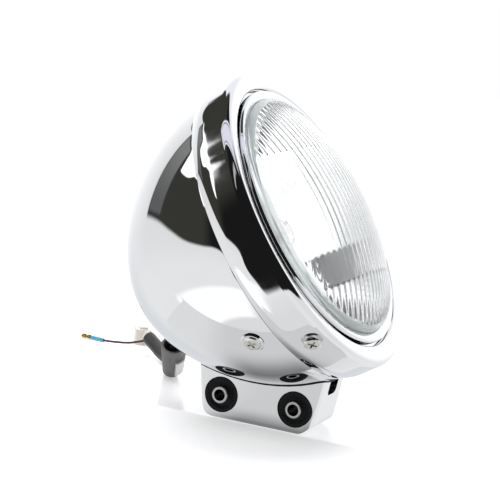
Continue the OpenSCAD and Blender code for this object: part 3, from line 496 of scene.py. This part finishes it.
def finish_mesh(name, mesh, material, node, sharp=SHARP_ANGLE):
    """Places a mesh given in the lamp frame in millimetres and hands it to the frame."""
    mesh.transform(Matrix.Scale(MM, 4))
    mesh.transform(LAMP)
    mesh.shade_smooth()
    mesh.set_sharp_from_angle(angle=radians(sharp))
    mesh.materials.append(MATERIALS[material])
    piece = add_object(name, mesh)
    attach(piece, "root")
    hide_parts(node)
    return piece


def skin(name, rows, loop=False):
    """Mesh of quads over closed rows of points; loop joins the last row to the first."""
    across = len(rows[0])
    points = [p for row in rows for p in row]
    faces = []
    for i in range(len(rows) if loop else len(rows) - 1):
        a = i * across
        b = (i + 1) % len(rows) * across
        for k in range(across):
            j = (k + 1) % across
            faces.append((a + k, a + j, b + j, b + k))
    mesh = bpy.data.meshes.new(name)
    mesh.from_pydata(points, [], faces)
    tidy = bmesh.new()
    tidy.from_mesh(mesh)
    bmesh.ops.remove_doubles(tidy, verts=tidy.verts, dist=0.002)
    bmesh.ops.recalc_face_normals(tidy, faces=tidy.faces)
    tidy.to_mesh(mesh)
    tidy.free()
    return mesh


def turned(line, angles):
    """Rows of points: each point (radius, height) of the line turned round Z."""
    return [[(r * cos(a), r * sin(a), z) for a in angles] for r, z in line]


def whole_turn(count):
    return [2 * pi * i / count for i in range(count)]


def arc(x, y, r, start, finish, count):
    """Points on a circle, angles in degrees."""
    spots = [radians(start + (finish - start) * i / count) for i in range(count + 1)]
    return [(x + r * cos(a), y + r * sin(a)) for a in spots]


def blend_line(points, count):
    """Smooth line through a few points."""
    ends = [points[0]] + points + [points[-1]]
    line = []
    for i in range(1, len(ends) - 2):
        p0, p1, p2, p3 = (Vector(ends[i + k]) for k in (-1, 0, 1, 2))
        for j in range(count):
            t = j / count
            line.append(tuple(
                (p1 * 2 + (p2 - p0) * t + (p0 * 2 - p1 * 5 + p2 * 4 - p3) * t * t
                 + (p1 * 3 - p0 - p2 * 3 + p3) * t * t * t) / 2
            ))
    return line + [tuple(points[-1])]


def drill(piece, holes):
    """Cuts round holes; each is (matrix in the lamp frame, radius, low, high) in millimetres."""
    cutter = bmesh.new()
    for place, radius, low, high in holes:
        middle = Matrix.Translation((0, 0, (low + high) / 2))
        to_row = LAMP @ Matrix.Scale(MM, 4) @ place @ middle
        bmesh.ops.create_cone(
            cutter, cap_ends=True, segments=48, radius1=radius, radius2=radius, depth=high - low,
            matrix=to_row,
        )
    mesh = bpy.data.meshes.new("cutter")
    cutter.to_mesh(mesh)
    cutter.free()
    tool = add_object("cutter", mesh)
    change = piece.modifiers.new("holes", "BOOLEAN")
    change.operation = "DIFFERENCE"
    change.solver = "EXACT"
    change.object = tool
    seen = piece.evaluated_get(bpy.context.evaluated_depsgraph_get())
    cut = bpy.data.meshes.new_from_object(seen)
    piece.modifiers.clear()
    piece.data = cut
    bpy.data.objects.remove(tool)
    cut.shade_smooth()
    cut.set_sharp_from_angle(angle=radians(SHARP_ANGLE))


# Rim

AIM_ANGLES = (-45, 45)
AIM_Z = -8
AIM_HOLE_R = 2.7
DIMPLE_R = 7.5
DIMPLE_DEPTH = 2
DIMPLE_BALL = (DIMPLE_R ** 2 + DIMPLE_DEPTH ** 2) / (2 * DIMPLE_DEPTH)
DIMPLE_AT = RIM_R - DIMPLE_DEPTH + DIMPLE_BALL
DIMPLE_SOFT = 0.5
DIMPLE_REACH = 7


def rim_line(inset, fine):
    """Outer face of the rim's section, or a line parallel to it inside the sheet."""
    parts = 12 * fine
    rear = []
    for i in range(parts + 1):
        curl = (RIM_R - RIM_REAR_R) * (1 - i / parts) ** 3
        rear.append((RIM_R - curl, -RIM_DEPTH + REAR_BEND * i / parts))
    shoulder_z = SHOULDER_RISE - SHOULDER_R
    band_start = -RIM_DEPTH + REAR_BEND
    steps = 9 * fine
    band = [(RIM_R, band_start + (shoulder_z - band_start) * i / steps) for i in range(1, steps)]
    front = arc(RIM_R - SHOULDER_R, shoulder_z, SHOULDER_R - inset, 0, 90, 9 * fine)
    roll = arc(LIP_R + LIP_ROLL, ROLL_Z, LIP_ROLL - inset, 90, 180, 6 * fine)
    inner = [(r - inset, z) for r, z in rear + band]
    return inner + front + roll + [(LIP_R + inset, -LIP_RETURN)]


def press_dimples(rows, inset):
    """Presses the round dimples under the aiming screws into rows of the rim's skin."""
    for row in rows:
        for i, (x, y, z) in enumerate(row):
            r = hypot(x, y)
            for centre in AIM_ANGLES:
                away = atan2(y, x) - radians(centre)
                across = DIMPLE_AT * sin(away)
                room = DIMPLE_BALL ** 2 - across ** 2 - (z - AIM_Z) ** 2
                if room <= 0 or cos(away) < 0 or r < RIM_R - 2 * DIMPLE_DEPTH:
                    continue
                ball = DIMPLE_AT * cos(away) - sqrt(room) - inset
                soft = max(DIMPLE_SOFT - abs(r - ball), 0) / DIMPLE_SOFT
                pressed = min(r, ball) - soft * soft * DIMPLE_SOFT / 4
                row[i] = (x * pressed / r, y * pressed / r, z)
                break


def at_rim(angle, z):
    outward = Matrix.Rotation(pi / 2, 4, "Y")
    return Matrix.Rotation(radians(angle), 4, "Z") @ Matrix.Translation((0, 0, z)) @ outward


def make_rim():
    angles = []
    for i in range(360):
        near = min(abs((i - a + 180) % 360 - 180) for a in AIM_ANGLES)
        parts = 4 if near < DIMPLE_REACH else 1
        angles += [radians(i + k / parts) for k in range(parts)]
    outer = turned(rim_line(0, 2), angles)
    inner = turned(rim_line(RIM_SHEET, 1), angles)
    press_dimples(outer, 0)
    press_dimples(inner, RIM_SHEET)
    mesh = skin("rim", outer + inner[::-1], loop=True)
    rim = finish_mesh("headlight_rim", mesh, "rolled_chrome", "rim")
    drill(rim, [(at_rim(a, AIM_Z), AIM_HOLE_R, RIM_R - 8, RIM_R + 2) for a in AIM_ANGLES])


# Bowl

RIM_SCREW_ANGLES = (-53.6, 53.6)
RIM_SCREW_BACK = 15.5
RIM_SCREW_HOLE_R = 2.7
WIRING_ANGLE = 50
WIRING_BACK = 0.86 * BOWL_DEPTH
WIRING_HOLE_R = 9.6
BRACKET_BOLT_Y = 9
BRACKET_BOLT_X = -4.7
BRACKET_BOLT_HOLE_R = 3.2
EDGE_BREAK = 0.4


def bowl_share(s):
    return max(1 - s ** BOWL_FULLNESS, 0) ** (1 / BOWL_ROUNDNESS)


def bowl_line(inset, count):
    line = []
    for i in range(count + 1):
        s = sin(pi / 2 * i / count)
        line.append(((BOWL_R - inset) * bowl_share(s), -RIM_DEPTH - (BOWL_DEPTH - inset) * s))
    return line


def at_bowl(angle, back):
    """Place on the bowl's skin with Z pointing out of it."""
    s = back / BOWL_DEPTH
    q = 1 / BOWL_ROUNDNESS
    steepness = BOWL_FULLNESS * q * s ** (BOWL_FULLNESS - 1) * (1 - s ** BOWL_FULLNESS) ** (q - 1)
    fall = BOWL_R / BOWL_DEPTH * steepness
    place = Matrix.Translation((BOWL_R * bowl_share(s), 0, -RIM_DEPTH - back))
    return Matrix.Rotation(radians(angle), 4, "Z") @ place @ Matrix.Rotation(pi / 2 + atan2(fall, 1), 4, "Y")


def make_bowl():
    front_in = BOWL_R - BOWL_SHEET
    line = [
        (front_in - BOWL_CURL, BOWL_FRONT), (BOWL_R - EDGE_BREAK, BOWL_FRONT),
        (BOWL_R, BOWL_FRONT - EDGE_BREAK),
    ]
    line += bowl_line(0, 120) + bowl_line(BOWL_SHEET, 48)[::-1]
    line += [(front_in, BOWL_FRONT - BOWL_SHEET), (front_in - BOWL_CURL, BOWL_FRONT - BOWL_SHEET)]
    mesh = skin("bowl", turned(line, whole_turn(360)), loop=True)
    bowl = finish_mesh("headlight_bowl", mesh, "bowl_chrome", "bowl")
    holes = [(at_bowl(a, RIM_SCREW_BACK), RIM_SCREW_HOLE_R, -8, 4) for a in RIM_SCREW_ANGLES]
    holes.append((at_bowl(WIRING_ANGLE, WIRING_BACK), WIRING_HOLE_R, -10, 6))
    from_row = Matrix.Scale(1 / MM, 4) @ LAMP.inverted() @ Matrix.Scale(MM, 4)
    for y in (-BRACKET_BOLT_Y, BRACKET_BOLT_Y):
        bolt = from_row @ Matrix.Translation((BRACKET_BOLT_X, y, 0))
        holes.append((bolt, BRACKET_BOLT_HOLE_R, -5, 25))
    drill(bowl, holes)


# Light unit: trim ring, fluted glass and reflector

RING_R = LIP_R - 1.6
RING_RISE = 3.2
RING_BEAD = 1.6
RING_SHEET = 0.9
GLASS_R = RING_R - 5.7
GLASS_FIT = 0.3
FLANGE_Z = -2.7
FLANGE_R = 89.5
RING_LIP_Z = RING_RISE - 1
UNIT_SCREW_HOLE_R = 1.7
UNIT_SCREW_AT = (RING_R + FLANGE_R) / 2 + 0.4
GLASS_SHOULDER = 3.9
GLASS_RISE = 6.6
DOME_RISE = 17
GLASS_WALL = 4
FLUTE_PITCH = 5.6
FLUTE_DEPTH = 0.7
FLUTE_ZONES = (-38, 43.7)
MIDDLE_FLUTES = 0.22
REFLECTOR_SHEET = 1
REFLECTOR_SEAT = 3
REFLECTOR_COLLAR = 5
FOCAL_LENGTH = 27
BULB_HOLE_R = 19
GASKET_T = 0.8
GASKET_FACE = 0.9
REFLECTOR_FLANGE_Z = FLANGE_Z - RING_SHEET
GASKET_Z = REFLECTOR_FLANGE_Z + REFLECTOR_SHEET
GLASS_FLANGE_Z = GASKET_Z + GASKET_T
GLASS_FLANGE_R = RING_R - RING_SHEET - GLASS_FIT
GLASS_FLANGE_TOP = RING_LIP_Z - RING_SHEET
DOME_R = GLASS_R - GLASS_FIT - GLASS_SHOULDER


def make_trim_ring():
    bead_x = RING_R - RING_BEAD
    bead_z = RING_RISE - RING_BEAD
    t = RING_SHEET
    line = [(FLANGE_R, FLANGE_Z - t), (FLANGE_R, FLANGE_Z), (RING_R, FLANGE_Z)]
    line += arc(bead_x, bead_z, RING_BEAD, 0, 90, 16)
    face = [
        (bead_x - 0.2, RING_RISE), (bead_x - 1.6, RING_RISE - 0.25), (GLASS_R + 0.3, RING_LIP_Z),
        (GLASS_R, RING_LIP_Z - 0.3),
    ]
    line += blend_line(face, 6)
    line += [(GLASS_R, RING_LIP_Z - t)]
    line += arc(bead_x, bead_z, RING_BEAD - t, 0, 90, 8)[::-1]
    line += [(RING_R - t, FLANGE_Z - t)]
    mesh = skin("trim_ring", turned(line, whole_turn(360)), loop=True)
    ring = finish_mesh("lens_trim_ring", mesh, "chrome", "trim_ring")
    holes = []
    for quarter in range(4):
        outward = Matrix.Translation((UNIT_SCREW_AT, 0, FLANGE_Z))
        holes.append((Matrix.Rotation(quarter * pi / 2, 4, "Z") @ outward, UNIT_SCREW_HOLE_R, -5, 3))
    drill(ring, holes)


def glass_outer_line(ball, ball_z, sweep):
    """Flange, shoulder and smooth dome, from the flange to the middle."""
    edge = GLASS_R - GLASS_FIT
    line = [(GLASS_FLANGE_R, GLASS_FLANGE_Z), (GLASS_FLANGE_R, GLASS_FLANGE_TOP), (edge, GLASS_FLANGE_TOP)]
    shoulder = [
        (edge, GLASS_FLANGE_TOP + 1.6), (edge - 0.4, GLASS_RISE - 2.4),
        (edge - GLASS_SHOULDER * 0.42, GLASS_RISE - 1.1), (DOME_R + 0.8, GLASS_RISE - 0.25),
    ]
    line += blend_line(shoulder, 6)
    for i in range(41):
        r = ball * sweep * (1 - i / 40)
        line.append((r, ball_z + sqrt(ball ** 2 - r ** 2)))
    return line


def flute_share(x, y, reach):
    """Depth of the flutes at a place in the glass, from 0 to 1; they are shallow in the middle zone."""
    if abs(y) >= reach:
        return 0
    share = sin(pi * y / FLUTE_PITCH) ** 2
    return share * MIDDLE_FLUTES if FLUTE_ZONES[0] < x < FLUTE_ZONES[1] else share


def make_glass():
    ball = (DOME_R ** 2 + DOME_RISE ** 2) / (2 * DOME_RISE)
    ball_z = GLASS_RISE + DOME_RISE - ball
    sweep = sqrt(1 - (1 - DOME_RISE / ball) ** 2)
    angles = whole_turn(480)
    outer = turned(glass_outer_line(ball, ball_z, sweep), angles)
    inner_ball = ball - GLASS_WALL
    inner_edge = DOME_R - 1
    flutes_reach = floor(inner_edge / FLUTE_PITCH) * FLUTE_PITCH
    steps = 90
    inner = []
    for i in range(steps + 2):
        r = inner_edge * min(i / steps, 1)
        row = []
        for a in angles:
            x, y = r * cos(a), r * sin(a)
            swing = sqrt(inner_ball ** 2 - y ** 2) + FLUTE_DEPTH * flute_share(x, y, flutes_reach)
            row.append((x, y, ball_z + sqrt(swing ** 2 - x ** 2) if i <= steps else GLASS_FLANGE_Z))
        inner.append(row)
    mesh = skin("glass", outer + inner)
    close = bmesh.new()
    close.from_mesh(mesh)
    open_edges = [e for e in close.edges if e.is_boundary]
    bmesh.ops.bridge_loops(close, edges=open_edges)
    bmesh.ops.recalc_face_normals(close, faces=close.faces)
    close.to_mesh(mesh)
    close.free()
    finish_mesh("lens", mesh, "lens_glass", "lens_glass", sharp=40)


def make_reflector():
    radius = GLASS_FLANGE_R - GASKET_FACE
    vertex = REFLECTOR_FLANGE_Z - radius ** 2 / (4 * FOCAL_LENGTH)
    seat = vertex - REFLECTOR_SEAT
    collar_r = BULB_HOLE_R + REFLECTOR_COLLAR
    t = REFLECTOR_SHEET
    wall = []
    for i in range(65):
        r = radius + (BULB_HOLE_R - radius) * i / 64
        wall.append((r, vertex + r * r / (4 * FOCAL_LENGTH)))
    line = [(GLASS_FLANGE_R, REFLECTOR_FLANGE_Z), (GLASS_FLANGE_R, GASKET_Z), (radius, GASKET_Z)]
    line += wall
    line += [(BULB_HOLE_R, seat), (collar_r, seat), (collar_r, seat + t), (BULB_HOLE_R + t, seat + t)]
    line += [(r + t, z - t * 0.7) for r, z in wall[::-4]]
    mesh = skin("reflector", turned(line, whole_turn(240)), loop=True)
    finish_mesh("lamp_reflector", mesh, "reflector", "reflector")


# Leads, along the routes of the CAD in millimetres

SLEEVE_ROUTE = [
    (-68.6, 32.7, 31.5), (-72.1, 35.6, 26.2), (-76.3, 41.4, 22), (-81.4, 49.4, 18.4), (-87, 58, 13.8),
    (-93, 66.4, 7.4), (-98.8, 73.8, 0.4), (-105.2, 80.9, -6.2), (-112, 87.2, -9.9), (-120, 92.8, -9.2),
    (-128, 98, -6.1), (-136, 103, -2.9),
]
BOOT_LEAD_ROUTE = [
    (-64.7, 26.8, 25.6), (-67.3, 28.9, 21.7), (-71, 31.2, 18.4), (-76, 33.8, 16.6), (-81.2, 36.8, 16.2),
    (-85.4, 39.6, 15.2), (-88.3, 42.2, 12.8), (-90, 45, 9), (-91.4, 48.5, 3.1), (-92.9, 52.1, -2.7),
]
BROWN_ROUTE = [
    (-136.6, 103.4, -6.2), (-138.8, 104.5, -5.8), (-141.4, 104.3, -6.3), (-144.6, 102.2, -7.2),
    (-149.5, 98.8, -8.2), (-157.5, 95.2, -8.6), (-165.9, 92, -8.5),
]
CREAM_ROUTE = [
    (-134.8, 104.6, -1.9), (-137.5, 106.2, -1.2), (-140.6, 109.2, -1), (-144, 114.2, -2.4),
    (-147.4, 119.6, -5), (-150.4, 124.6, -7.6), (-153, 128.8, -8.7),
]
SLEEVE_D = 9.6
BOOT_LEAD_D = 5
BROWN_D = 1.6
CREAM_D = 3


def make_lead(name, node, route, diameter, finish):
    data = bpy.data.curves.new(name, "CURVE")
    data.dimensions = "3D"
    data.resolution_u = 10
    data.bevel_depth = diameter * MM / 2
    data.bevel_resolution = 7
    data.use_fill_caps = True
    line = data.splines.new("BEZIER")
    line.bezier_points.add(len(route) - 1)
    for point, place in zip(line.bezier_points, route):
        point.co = Vector(place) * MM
        point.handle_left_type = point.handle_right_type = "AUTO"
    data.materials.append(MATERIALS[finish])
    lead = add_object(name, data)
    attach(lead, "root")
    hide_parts(node)


def make_leads():
    make_lead("main_sleeve", "wiring_sleeve", SLEEVE_ROUTE, SLEEVE_D, "dark_sleeve")
    make_lead(
        "side_lamp_lead", "boot_lead", BOOT_LEAD_ROUTE, BOOT_LEAD_D, "lead_jacket",
    )
    make_lead(
        "earth_wire", "brown_wire", BROWN_ROUTE, BROWN_D, "brown_jacket",
    )
    make_lead(
        "plug_lead", "connector_lead", CREAM_ROUTE, CREAM_D, "cream_jacket",
    )


# Materials

MATERIALS = {}

CHROME_TONES = ((0.80, 0.81, 0.825, 1), (0.835, 0.84, 0.845, 1))
CHROME_ROUGHNESS = (0.025, 0.06)
SHEET_WAVE = 0.12 * MM
PLATING_PEEL = 0.0012 * MM

# Softly rolled rear part of the rim, by height along the lamp's axis, and painted shade on the bowl along
# its joint with the rim, strongest low down
ROLLED_FROM = -23.8
ROLLED_TO = -17
ROLLED_HEIGHT = 0.95
SEAM_SHADE_TONE = (0.01, 0.01, 0.01, 1)
SEAM_FROM = -RIM_DEPTH - 0.85
SEAM_TO = -RIM_DEPTH - 0.6
SEAM_FADE = (0.105, 0.06)

# Painted shade inside the bores of the two mounting collars
COLLAR_PITCH = 48
COLLAR_DARK_R = 3.62
COLLAR_EDGE = 0.06
BORE_SHADE_TONE = (0.012, 0.012, 0.012, 1)

# Plated and drawn metals: two tones, lowest and highest roughness, size of the mottle and of the grain as
# texture scales, and depth of the grain in metres
METALS = {
    "screw_steel": ((0.74, 0.74, 0.70, 1), (0.66, 0.66, 0.63, 1), 0.16, 0.28, 300.0, 1800.0, 0.000008),
    "zinc_steel": ((0.62, 0.63, 0.62, 1), (0.55, 0.56, 0.57, 1), 0.28, 0.42, 160.0, 1400.0, 0.00001),
    "spring_steel": ((0.36, 0.36, 0.37, 1), (0.28, 0.28, 0.29, 1), 0.25, 0.4, 260.0, 1500.0, 0.00001),
    "reflector": ((0.93, 0.93, 0.94, 1), (0.90, 0.90, 0.92, 1), 0.04, 0.08, 60.0, 900.0, 0.000002),
    "bulb_metal": ((0.72, 0.70, 0.64, 1), (0.62, 0.60, 0.55, 1), 0.2, 0.35, 200.0, 1300.0, 0.000006),
    "brass": ((0.86, 0.62, 0.26, 1), (0.78, 0.52, 0.20, 1), 0.18, 0.32, 500.0, 2200.0, 0.000008),
}

# Rubber and moulded plastic: two tones, lowest and highest roughness, texture scale of the grain, its
# depth in metres, and specular level
SOFT_MATERIALS = {
    "black_rubber": ((0.006, 0.006, 0.006, 1), (0.011, 0.011, 0.0105, 1), 0.45, 0.62, 1600.0, 0.00002, 0.22),
    "socket_plastic": ((0.03, 0.022, 0.018, 1), (0.045, 0.03, 0.024, 1), 0.3, 0.45, 900.0, 0.00001, 0.5),
    "lead_jacket": ((0.018, 0.018, 0.019, 1), (0.03, 0.03, 0.03, 1), 0.35, 0.5, 1100.0, 0.00002, 0.5),
    "dark_sleeve": ((0.045, 0.043, 0.042, 1), (0.07, 0.066, 0.064, 1), 0.3, 0.48, 700.0, 0.00003, 0.5),
    "grey_rubber": ((0.12, 0.116, 0.112, 1), (0.155, 0.15, 0.145, 1), 0.38, 0.52, 1200.0, 0.00002, 0.5),
    "pale_plastic": ((0.72, 0.72, 0.70, 1), (0.78, 0.78, 0.77, 1), 0.28, 0.4, 900.0, 0.00001, 0.5),
    "brown_jacket": ((0.10, 0.045, 0.035, 1), (0.14, 0.065, 0.05, 1), 0.35, 0.5, 1500.0, 0.00001, 0.5),
    "blue_sleeve": ((0.10, 0.42, 0.72, 1), (0.16, 0.52, 0.82, 1), 0.25, 0.4, 1500.0, 0.00001, 0.5),
    "cream_jacket": ((0.76, 0.70, 0.58, 1), (0.82, 0.77, 0.66, 1), 0.35, 0.5, 1500.0, 0.00001, 0.5),
    "cream_plastic": ((0.94, 0.885, 0.81, 1), (0.965, 0.92, 0.86, 1), 0.35, 0.5, 900.0, 0.00001, 0.5),
}
SOFT_MOTTLE = 70.0

GLASS_CLEAR = (0.985, 0.996, 0.993, 1)
GLASS_EDGE = (0.72, 0.77, 0.765, 1)
GLASS_EDGE_ROUGHNESS = 0.18
GLASS_EDGE_CLEARNESS = 0.55
GLASS_WAVE = 0.02 * MM
BULB_WAVE = 0.01 * MM
BULB_GLASS = (0.99, 0.99, 0.985, 1)


def new_material(name):
    material = bpy.data.materials.new(name)
    material.use_nodes = True
    MATERIALS[name] = material
    n = Nodes(material.node_tree)
    return n, n.add("TexCoord").outputs["Object"]


def shade(n, **inputs):
    n.add("OutputMaterial", Surface=n.add("BsdfPrincipled", **inputs).outputs[0])


def lamp_depth(n, where):
    """Height along the lamp's axis, in millimetres."""
    axis = LAMP.to_3x3() @ Vector((0, 0, 1))
    along = n.math("DOT_PRODUCT", where, axis, kind="VectorMath")["Value"]
    return n.over(n.minus(along, axis.dot(LAMP.translation)), MM)


def lamp_radius(n, where):
    """Distance from the lamp's axis, in millimetres."""
    axis = LAMP.to_3x3() @ Vector((0, 0, 1))
    away = n.math("SUBTRACT", where, LAMP.translation, kind="VectorMath")[0]
    across = n.math("CROSS_PRODUCT", away, axis, kind="VectorMath")[0]
    return n.over(n.math("LENGTH", across, kind="VectorMath")["Value"], MM)


def make_chrome(name, rolled=False, seam_shade=False):
    n, where = new_material(name)
    waves = n.noise(where, 22.0, 2.0, 0.4)
    peel = n.noise(where, 420.0, 2.0, 0.5)
    smear = n.noise(where, 60.0, 4.0, 0.6)
    normal = n.bump(peel, PLATING_PEEL, n.bump(waves, SHEET_WAVE))
    if rolled:
        rolled_edge = n.step(lamp_depth(n, where), ROLLED_FROM, ROLLED_TO)
        normal = n.bump(rolled_edge, ROLLED_HEIGHT * MM, normal)
    tone = n.mix(smear, *CHROME_TONES)
    # Painted shade: a dark band on the bowl just behind the rim's rear edge, on the lower part only
    if seam_shade:
        depth = n.step(lamp_depth(n, where), SEAM_FROM, SEAM_TO)
        height = n.add("SeparateXYZ", Vector=where).outputs["Z"]
        tone = n.mix(n.times(depth, n.step(height, *SEAM_FADE)), tone, SEAM_SHADE_TONE)
    rough = n.step(smear, 0.35, 0.75, *CHROME_ROUGHNESS)
    shade(n, Base_Color=tone, Metallic=1.0, Roughness=rough, Normal=normal)


def collar_bore_shade(n, where):
    """1 inside the bores of the two mounting collars, where painted shade darkens the zinc steel."""
    spot = n.add("SeparateXYZ", Vector=where).outputs
    ahead = n.minus(n.math("ABSOLUTE", spot["X"])[0], COLLAR_PITCH / 2 * MM)
    return n.step(n.length(ahead, spot["Z"]), COLLAR_DARK_R * MM, (COLLAR_DARK_R - COLLAR_EDGE) * MM)


def make_metal(name, first, second, low, high, scale, grain, grain_depth):
    n, where = new_material(name)
    cloud = n.noise(where, scale, 4.0, 0.6)
    fine = n.noise(where, grain, 3.0, 0.6)
    tone = n.mix(n.step(cloud, 0.3, 0.7), first, second)
    if name == "zinc_steel":
        # Painted shade inside the collar bores
        tone = n.mix(collar_bore_shade(n, where), tone, BORE_SHADE_TONE)
    rough = n.step(fine, 0.25, 0.75, low, high)
    shade(n, Base_Color=tone, Metallic=1.0, Roughness=rough, Normal=n.bump(fine, grain_depth))


def make_soft_material(name, first, second, low, high, grain, depth, specular):
    n, where = new_material(name)
    cloud = n.noise(where, SOFT_MOTTLE, 4.0, 0.6)
    fine = n.noise(where, grain, 4.0, 0.65)
    tone = n.mix(n.step(cloud, 0.3, 0.7), first, second)
    rough = n.step(cloud, 0.25, 0.75, low, high)
    shade(n, Base_Color=tone, Roughness=rough, Specular_IOR_Level=specular, Normal=n.bump(fine, depth))


def make_glass_materials():
    n, where = new_material("lens_glass")
    waves = n.noise(where, 90.0, 2.0, 0.5)
    edge = n.step(lamp_radius(n, where), DOME_R - 0.1, DOME_R + 1.0)
    shade(
        n, Base_Color=n.mix(edge, GLASS_CLEAR, GLASS_EDGE), Roughness=n.times(edge, GLASS_EDGE_ROUGHNESS),
        IOR=1.5, Transmission_Weight=n.step(edge, 0.0, 1.0, 1.0, GLASS_EDGE_CLEARNESS),
        Normal=n.bump(waves, GLASS_WAVE),
    )
    n, where = new_material("bulb_glass")
    haze = n.noise(where, 150.0, 3.0, 0.5)
    shade(
        n, Base_Color=BULB_GLASS, Roughness=n.step(haze, 0.3, 0.8, 0.0, 0.03), IOR=1.47,
        Transmission_Weight=1.0, Normal=n.bump(haze, BULB_WAVE),
    )


def make_materials():
    make_chrome("chrome")
    make_chrome("rolled_chrome", rolled=True)
    make_chrome("bowl_chrome", seam_shade=True)
    make_glass_materials()
    for name, recipe in METALS.items():
        make_metal(name, *recipe)
    for name, recipe in SOFT_MATERIALS.items():
        make_soft_material(name, *recipe)


def dress_cad_nodes():
    """Gives each CAD node that still shows the scene's material of its slot."""
    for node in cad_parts.values():
        for place in node.material_slots:
            name = place.material.name.split(".")[0]
            if name in MATERIALS:
                place.material = MATERIALS[name]


make_camera()
make_materials()
make_leads()
make_rim()
make_bowl()
make_trim_ring()
make_glass()
make_reflector()
dress_cad_nodes()
make_table()
make_near_table()
make_studio_light()
make_soft_light("overhead", (-0.3, 0.4, 1.6), (0, 0, 0), 1.8, 36)
make_soft_light("front", (0.9, -0.9, 1.0), (0, 0, 0.05), 0.9, 8)

bpy.context.scene.view_settings.view_transform = "Standard"
